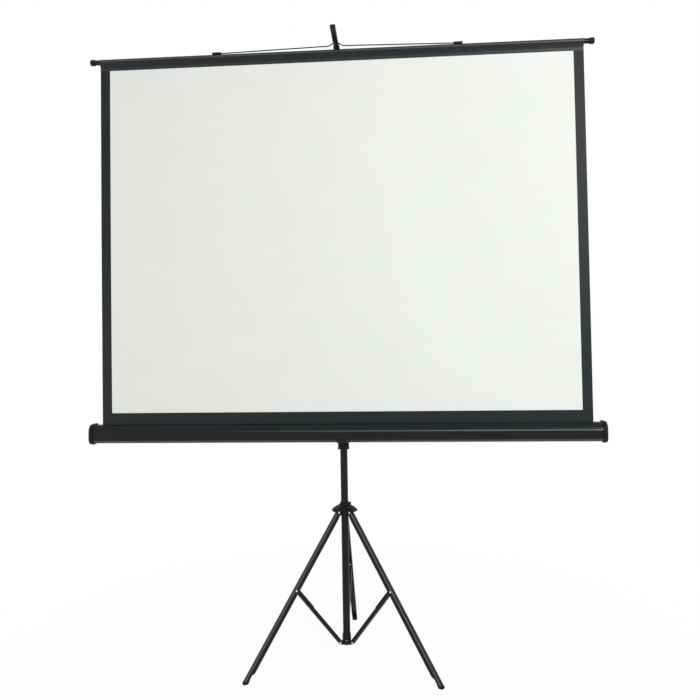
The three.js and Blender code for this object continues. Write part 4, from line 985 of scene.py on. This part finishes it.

# Calendered vinyl: the white is matt and hardly tinted, the printed border has a slight sheen, the band along
# the weld a stronger painted sheen and the pocket's front over the slat a painted highlight, and the backing
# is dull. The weave shows faintly in all of them.
finishes = []
for name, dark, light, rough, level in (
    ("matt_white_screen_vinyl", "#e4e7e1", "#e8ebe6", 0.92, 0.15),
    ("black_printed_border", "#141a1c", "#1d2426", 0.46, 0.19),
    ("black_backing", "#1b1d1e", "#242627", 0.8, 0.15),
    ("black_border_weld_band_painted_sheen", "#161b1d", "#1f2527", 0.44, 0.36),
    ("black_border_painted_slat_highlight", "#161b1d", "#1f2527", 0.42, 0.8),
):
    finish, tree, shader = new_finish(name)
    place = add_node(tree, "ShaderNodeUVMap", uv_map="metres").outputs[0]
    mottle = add_node(tree, "ShaderNodeTexNoise", {"Vector": place, "Scale": 1 / (180 * MM), "Detail": 5.0})
    tint = add_node(
        tree, "ShaderNodeMix", {SHARE: mottle.outputs[0], DARK: linear(dark), LIGHT: linear(light)},
        data_type="RGBA",
    )
    # The threads are about 0.6 mm apart, drawn at 3 mm so that they show; a wave of scale 1 is 1/20 m long.
    threads = {"Vector": place, "Scale": 1 / (20 * 3 * MM)}
    warp = add_node(tree, "ShaderNodeTexWave", threads, bands_direction="X")
    weft = add_node(tree, "ShaderNodeTexWave", threads, bands_direction="Y")
    weave = add_node(tree, "ShaderNodeMath", {0: warp.outputs[1], 1: weft.outputs[1]}, operation="ADD")
    relief = {"Height": weave.outputs[0], "Strength": 0.1, "Distance": 0.1 * MM}
    bump = add_node(tree, "ShaderNodeBump", relief)
    connect(shader, {
        "Base Color": tint.outputs[MIXED], "Normal": bump.outputs[0], "Roughness": rough,
        "Specular IOR Level": level,
    })
    finishes.append(finish)

cloth.transform(at(0, 0, 0) @ Matrix.Scale(MM, 4))
mesh = as_mesh("screen_cloth_sheet", cloth, CLOTH_SHARP)
for finish in finishes:
    mesh.materials.append(finish)
screen_sheet = shown("screen_cloth_sheet", mesh)
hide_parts("screen_cloth")
sheet_place = mast_y + sheet_y * MM
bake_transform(screen_sheet)

# The turns of cloth left on the roller show their printed face inwards and their backing outwards.
ROLL_INSIDE = 13.55
ROLL_TURNS = 1.5
ROLL_PITCH = 0.2
ROLL_CLOTH = 0.15
ROLL_STEPS = 144
(_, roll_front, roll_low), (_, roll_back, roll_high) = limits("cloth_wraps")
roll_y, roll_z = (roll_front + roll_back) / 2, (roll_low + roll_high) / 2
spiral = []
for turns in between(0, ROLL_TURNS, ROLL_STEPS):
    angle = 2 * math.pi * turns
    radius = ROLL_INSIDE + ROLL_PITCH * turns
    spiral.append((roll_y - radius * math.cos(angle), roll_z + radius * math.sin(angle)))
inner, outer = ribbon(spiral, ROLL_CLOTH)
roll = loft([[(x, y, z) for y, z in inner + outer[::-1]] for x in (-cloth_half, cloth_half)])
cloth_roll = fit("cloth_on_roller", roll, at(0, 0, 0), finishes[BACKING], "roller", "cloth", "cloth_wraps")

# Slat: a thin steel tube in the cloth's pocket, powder coated, whose bare ends stand out at both sides.
# A barrel-shaped ABS plug is pressed into each end to take hold of.
SLAT_WALL = 1.0
# Radius and distance out from the tube's end: spigot, flange, flare, barrel, rounded end, dished middle.
SLAT_PLUG = (
    (7.7, -20), (8.2, -19.4), (8.2, 0.3), (9.5, 0.3), (9.55, 2), (10.4, 3.6), (11.3, 5), (11.7, 6.6),
    (11.7, 16.4), (11.4, 18), (10.6, 19.6), (9.4, 20.7), (8.2, 21), (3.8, 21), (3, 20.3),
)
shape = tube((slat_high - slat_low) / 2, SLAT_WALL, -slat_half, slat_half)
seat = at(0, sheet_y, slat_z) @ TOWARDS_RIGHT
fit("slat_steel_tube", shape, seat, powder_coat, "upper_mast", "black_paint", "slat_tube")
for hand, way in (("left", -1), ("right", 1)):
    shape = turned(SLAT_PLUG, sides=64)
    seat = at(way * slat_half, sheet_y, slat_z) @ Matrix.Rotation(way * math.pi / 2, 4, "Y")
    fit(f"slat_end_plug_{hand}", shape, seat, abs_plastic, "upper_mast", "black_plastic", f"slat_knob_{hand}")

# Bail: spring-steel wire from one anchor on the slat to the other, bent up to a hump that hooks over the arm.
# The anchors are ABS mouldings that clip on the slat.
WIRE_RADIUS = 2.1
WIRE_SIDES = 12
WIRE_STRAIGHT = 20
WIRE_BEND = 6
HUMP_HALF = 11
HUMP_FOOT = 24.5
HUMP_FOOT_RISE = 23.5
ANCHOR_EDGE = 0.7
(_, _, bail_low), (wire_half, _, bail_high) = limits("hanger_bail")
hump_z = bail_high - WIRE_RADIUS
anchor_z = bail_low + WIRE_RADIUS
half_route = [
    (HUMP_HALF, hump_z), (HUMP_FOOT, slat_z + HUMP_FOOT_RISE), (wire_half - WIRE_STRAIGHT, anchor_z),
    (wire_half, anchor_z),
]
route = eased([(-x, z) for x, z in half_route[::-1]] + half_route, WIRE_BEND, loop=False, steps=6)
rings = []
for i, (x, z) in enumerate(route):
    before, after = Vector(route[max(i - 1, 0)]), Vector(route[min(i + 1, len(route) - 1)])
    along = (after - before).normalized()
    ring = []
    for k in range(WIRE_SIDES):
        angle = 2 * math.pi * k / WIRE_SIDES
        rise = WIRE_RADIUS * math.sin(angle)
        ring.append((x - along.y * rise, WIRE_RADIUS * math.cos(angle), z + along.x * rise))
    rings.append(ring)

# Hard-drawn wire, blued black by its heat treatment, with a little oil on it that clouds its sheen.
spring_wire = mottled_finish(
    "blued_spring_wire", patch=8, detail=4.0, colours=("#101113", "#1c1d20"), gloss=(0.34, 0.5),
    inputs={"Metallic": 0.15, "Specular IOR Level": 0.2},
)
fit("bail_wire", loft(rings), at(0, sheet_y, 0), spring_wire, "upper_mast", "grey_steel", "hanger_bail")
for hand in ("left", "right"):
    node = "bail_anchor_" + hand
    anchor = softened(node, ANCHOR_EDGE)
    fit("bail_wire_anchor_" + hand, anchor, None, abs_plastic, "upper_mast", "black_plastic", node)

# Keystone arm: a steel bar with notches for the bail, which tilts the cloth against keystoning. It is pinned
# in a channel bracket on the top of the inner tube. Powder coated.
PIN_HEAD = 5
PIN_RADIUS = 3
for name, node, edge in (("notched_arm", "keystone_arm", 0.7), ("arm_channel_bracket", "arm_bracket", 0.4)):
    fit(name, softened(node, edge), None, powder_coat, "upper_mast", "black_paint", node)
(_, front, bottom), (right, back, top) = limits("arm_pin")
pin = through_rivet(right - RIVET_HEAD, PIN_RADIUS, PIN_HEAD)
seat = at(0, (front + back) / 2, (bottom + top) / 2) @ TOWARDS_RIGHT
fit("arm_rivet", pin, seat, zinc, "upper_mast", "bright_steel", "arm_pin")

# Camera: level with the lower part of the cloth, a little right of the middle and turned a little left.
# Lengths on the picture are in pixels, and its place is in metres from the middle of the white area's foot.
IMAGE = 700
FOCAL = 755.7
SHIFT_DOWN = 50
SENSOR = 36
YAW = math.radians(4.549)
PITCH = math.radians(1.813)
ROLL = math.radians(-0.939)
EYE_RIGHT, EYE_BEFORE, EYE_UP = 0.2542, 2.732, 0.316
forward = Vector((-math.sin(YAW) * math.cos(PITCH), math.cos(YAW) * math.cos(PITCH), math.sin(PITCH)))
right = Vector((math.cos(YAW), math.sin(YAW), 0))
above = right.cross(forward)
across = right * math.cos(ROLL) + above * math.sin(ROLL)
above = above * math.cos(ROLL) - right * math.sin(ROLL)
lens = bpy.data.cameras.new("camera")
lens.sensor_width = SENSOR
lens.lens = FOCAL / IMAGE * SENSOR
lens.shift_y = -SHIFT_DOWN / IMAGE
camera = shown("camera", lens)
eye = Vector((EYE_RIGHT, sheet_place - EYE_BEFORE, view_low * MM + EYE_UP))
camera.matrix_world = Matrix.Translation(eye) @ Matrix((across, above, -forward)).transposed().to_4x4()
bpy.context.scene.camera = camera

# Floor: a plain pale sheet that keeps the shadow near the feet and runs out to white.
# The camera sees it glow almost white, and the lamps see plain paper.
FLOOR_HALF = 9
FADE_START, FADE_END = 0.5, 1.6
NEAR_GLOW = 0.96


def seen_by_camera(tree):
    """A socket that is 1 where the camera looks, straight, in a reflection or through something clear."""
    ray = add_node(tree, "ShaderNodeLightPath").outputs
    seen = add_node(
        tree, "ShaderNodeMath", {0: ray["Is Camera Ray"], 1: ray["Is Glossy Ray"]}, operation="MAXIMUM"
    )
    seen = add_node(
        tree, "ShaderNodeMath", {0: seen.outputs[0], 1: ray["Is Transmission Ray"]}, operation="MAXIMUM"
    )
    return seen.outputs[0]


corners = [(x * FLOOR_HALF, y * FLOOR_HALF, 0) for x, y in ((-1, -1), (1, -1), (1, 1), (-1, 1))]
floor_mesh = bpy.data.meshes.new("floor")
floor_mesh.from_pydata(corners, [], [(0, 1, 2, 3)])
floor = shown("floor", floor_mesh)
paper, tree, shader = new_finish("pale_paper")
tree.nodes.remove(shader)
place = add_node(tree, "ShaderNodeNewGeometry").outputs["Position"]
far = add_node(tree, "ShaderNodeVectorMath", {0: place}, operation="LENGTH")
fade = add_node(
    tree, "ShaderNodeMapRange",
    {"Value": far.outputs["Value"], "From Min": FADE_START, "From Max": FADE_END, "To Min": NEAR_GLOW},
    interpolation_type="SMOOTHSTEP",
)
share = add_node(tree, "ShaderNodeMath", {0: seen_by_camera(tree), 1: fade.outputs[0]}, operation="MULTIPLY")
matt = add_node(tree, "ShaderNodeBsdfDiffuse", {"Color": linear("#f2f2f2")})
glow = add_node(tree, "ShaderNodeEmission", {"Color": linear("#ffffff"), "Strength": 1.0})
mixed = add_node(tree, "ShaderNodeMixShader", {0: share.outputs[0], 1: matt.outputs[0], 2: glow.outputs[0]})
connect(tree.nodes["Material Output"], {"Surface": mixed.outputs[0]})
floor_mesh.materials.append(paper)

# Light: an even pale surround, a large soft lamp from the right front, and a weaker one from the left.
# Both lamps point at the white area, a little below its middle.
SURROUND = 0.45
LAMPS_AT = 1.4
world = bpy.data.worlds.new("surround")
world.use_nodes = True
bpy.context.scene.world = world
tree = world.node_tree
level = add_node(tree, "ShaderNodeMapRange", {"Value": seen_by_camera(tree), "To Min": SURROUND})
connect(tree.nodes["Background"], {"Color": linear("#ffffff"), "Strength": level.outputs[0]})
for name, spot, watts, size in (
    ("right_softbox", (2.5, -4.0, 2.6), 118, 1.0),
    ("left_fill", (-3.0, -3.0, 0.9), 18, 1.2),
):
    lamp = bpy.data.lights.new(name, "AREA")
    lamp.energy = watts
    lamp.size = size
    holder = shown(name, lamp)
    aim = Vector((0, sheet_place, LAMPS_AT)) - Vector(spot)
    holder.matrix_world = Matrix.Translation(spot) @ aim.to_track_quat("-Z", "Y").to_matrix().to_4x4()
bpy.context.scene.view_settings.view_transform = "Standard"
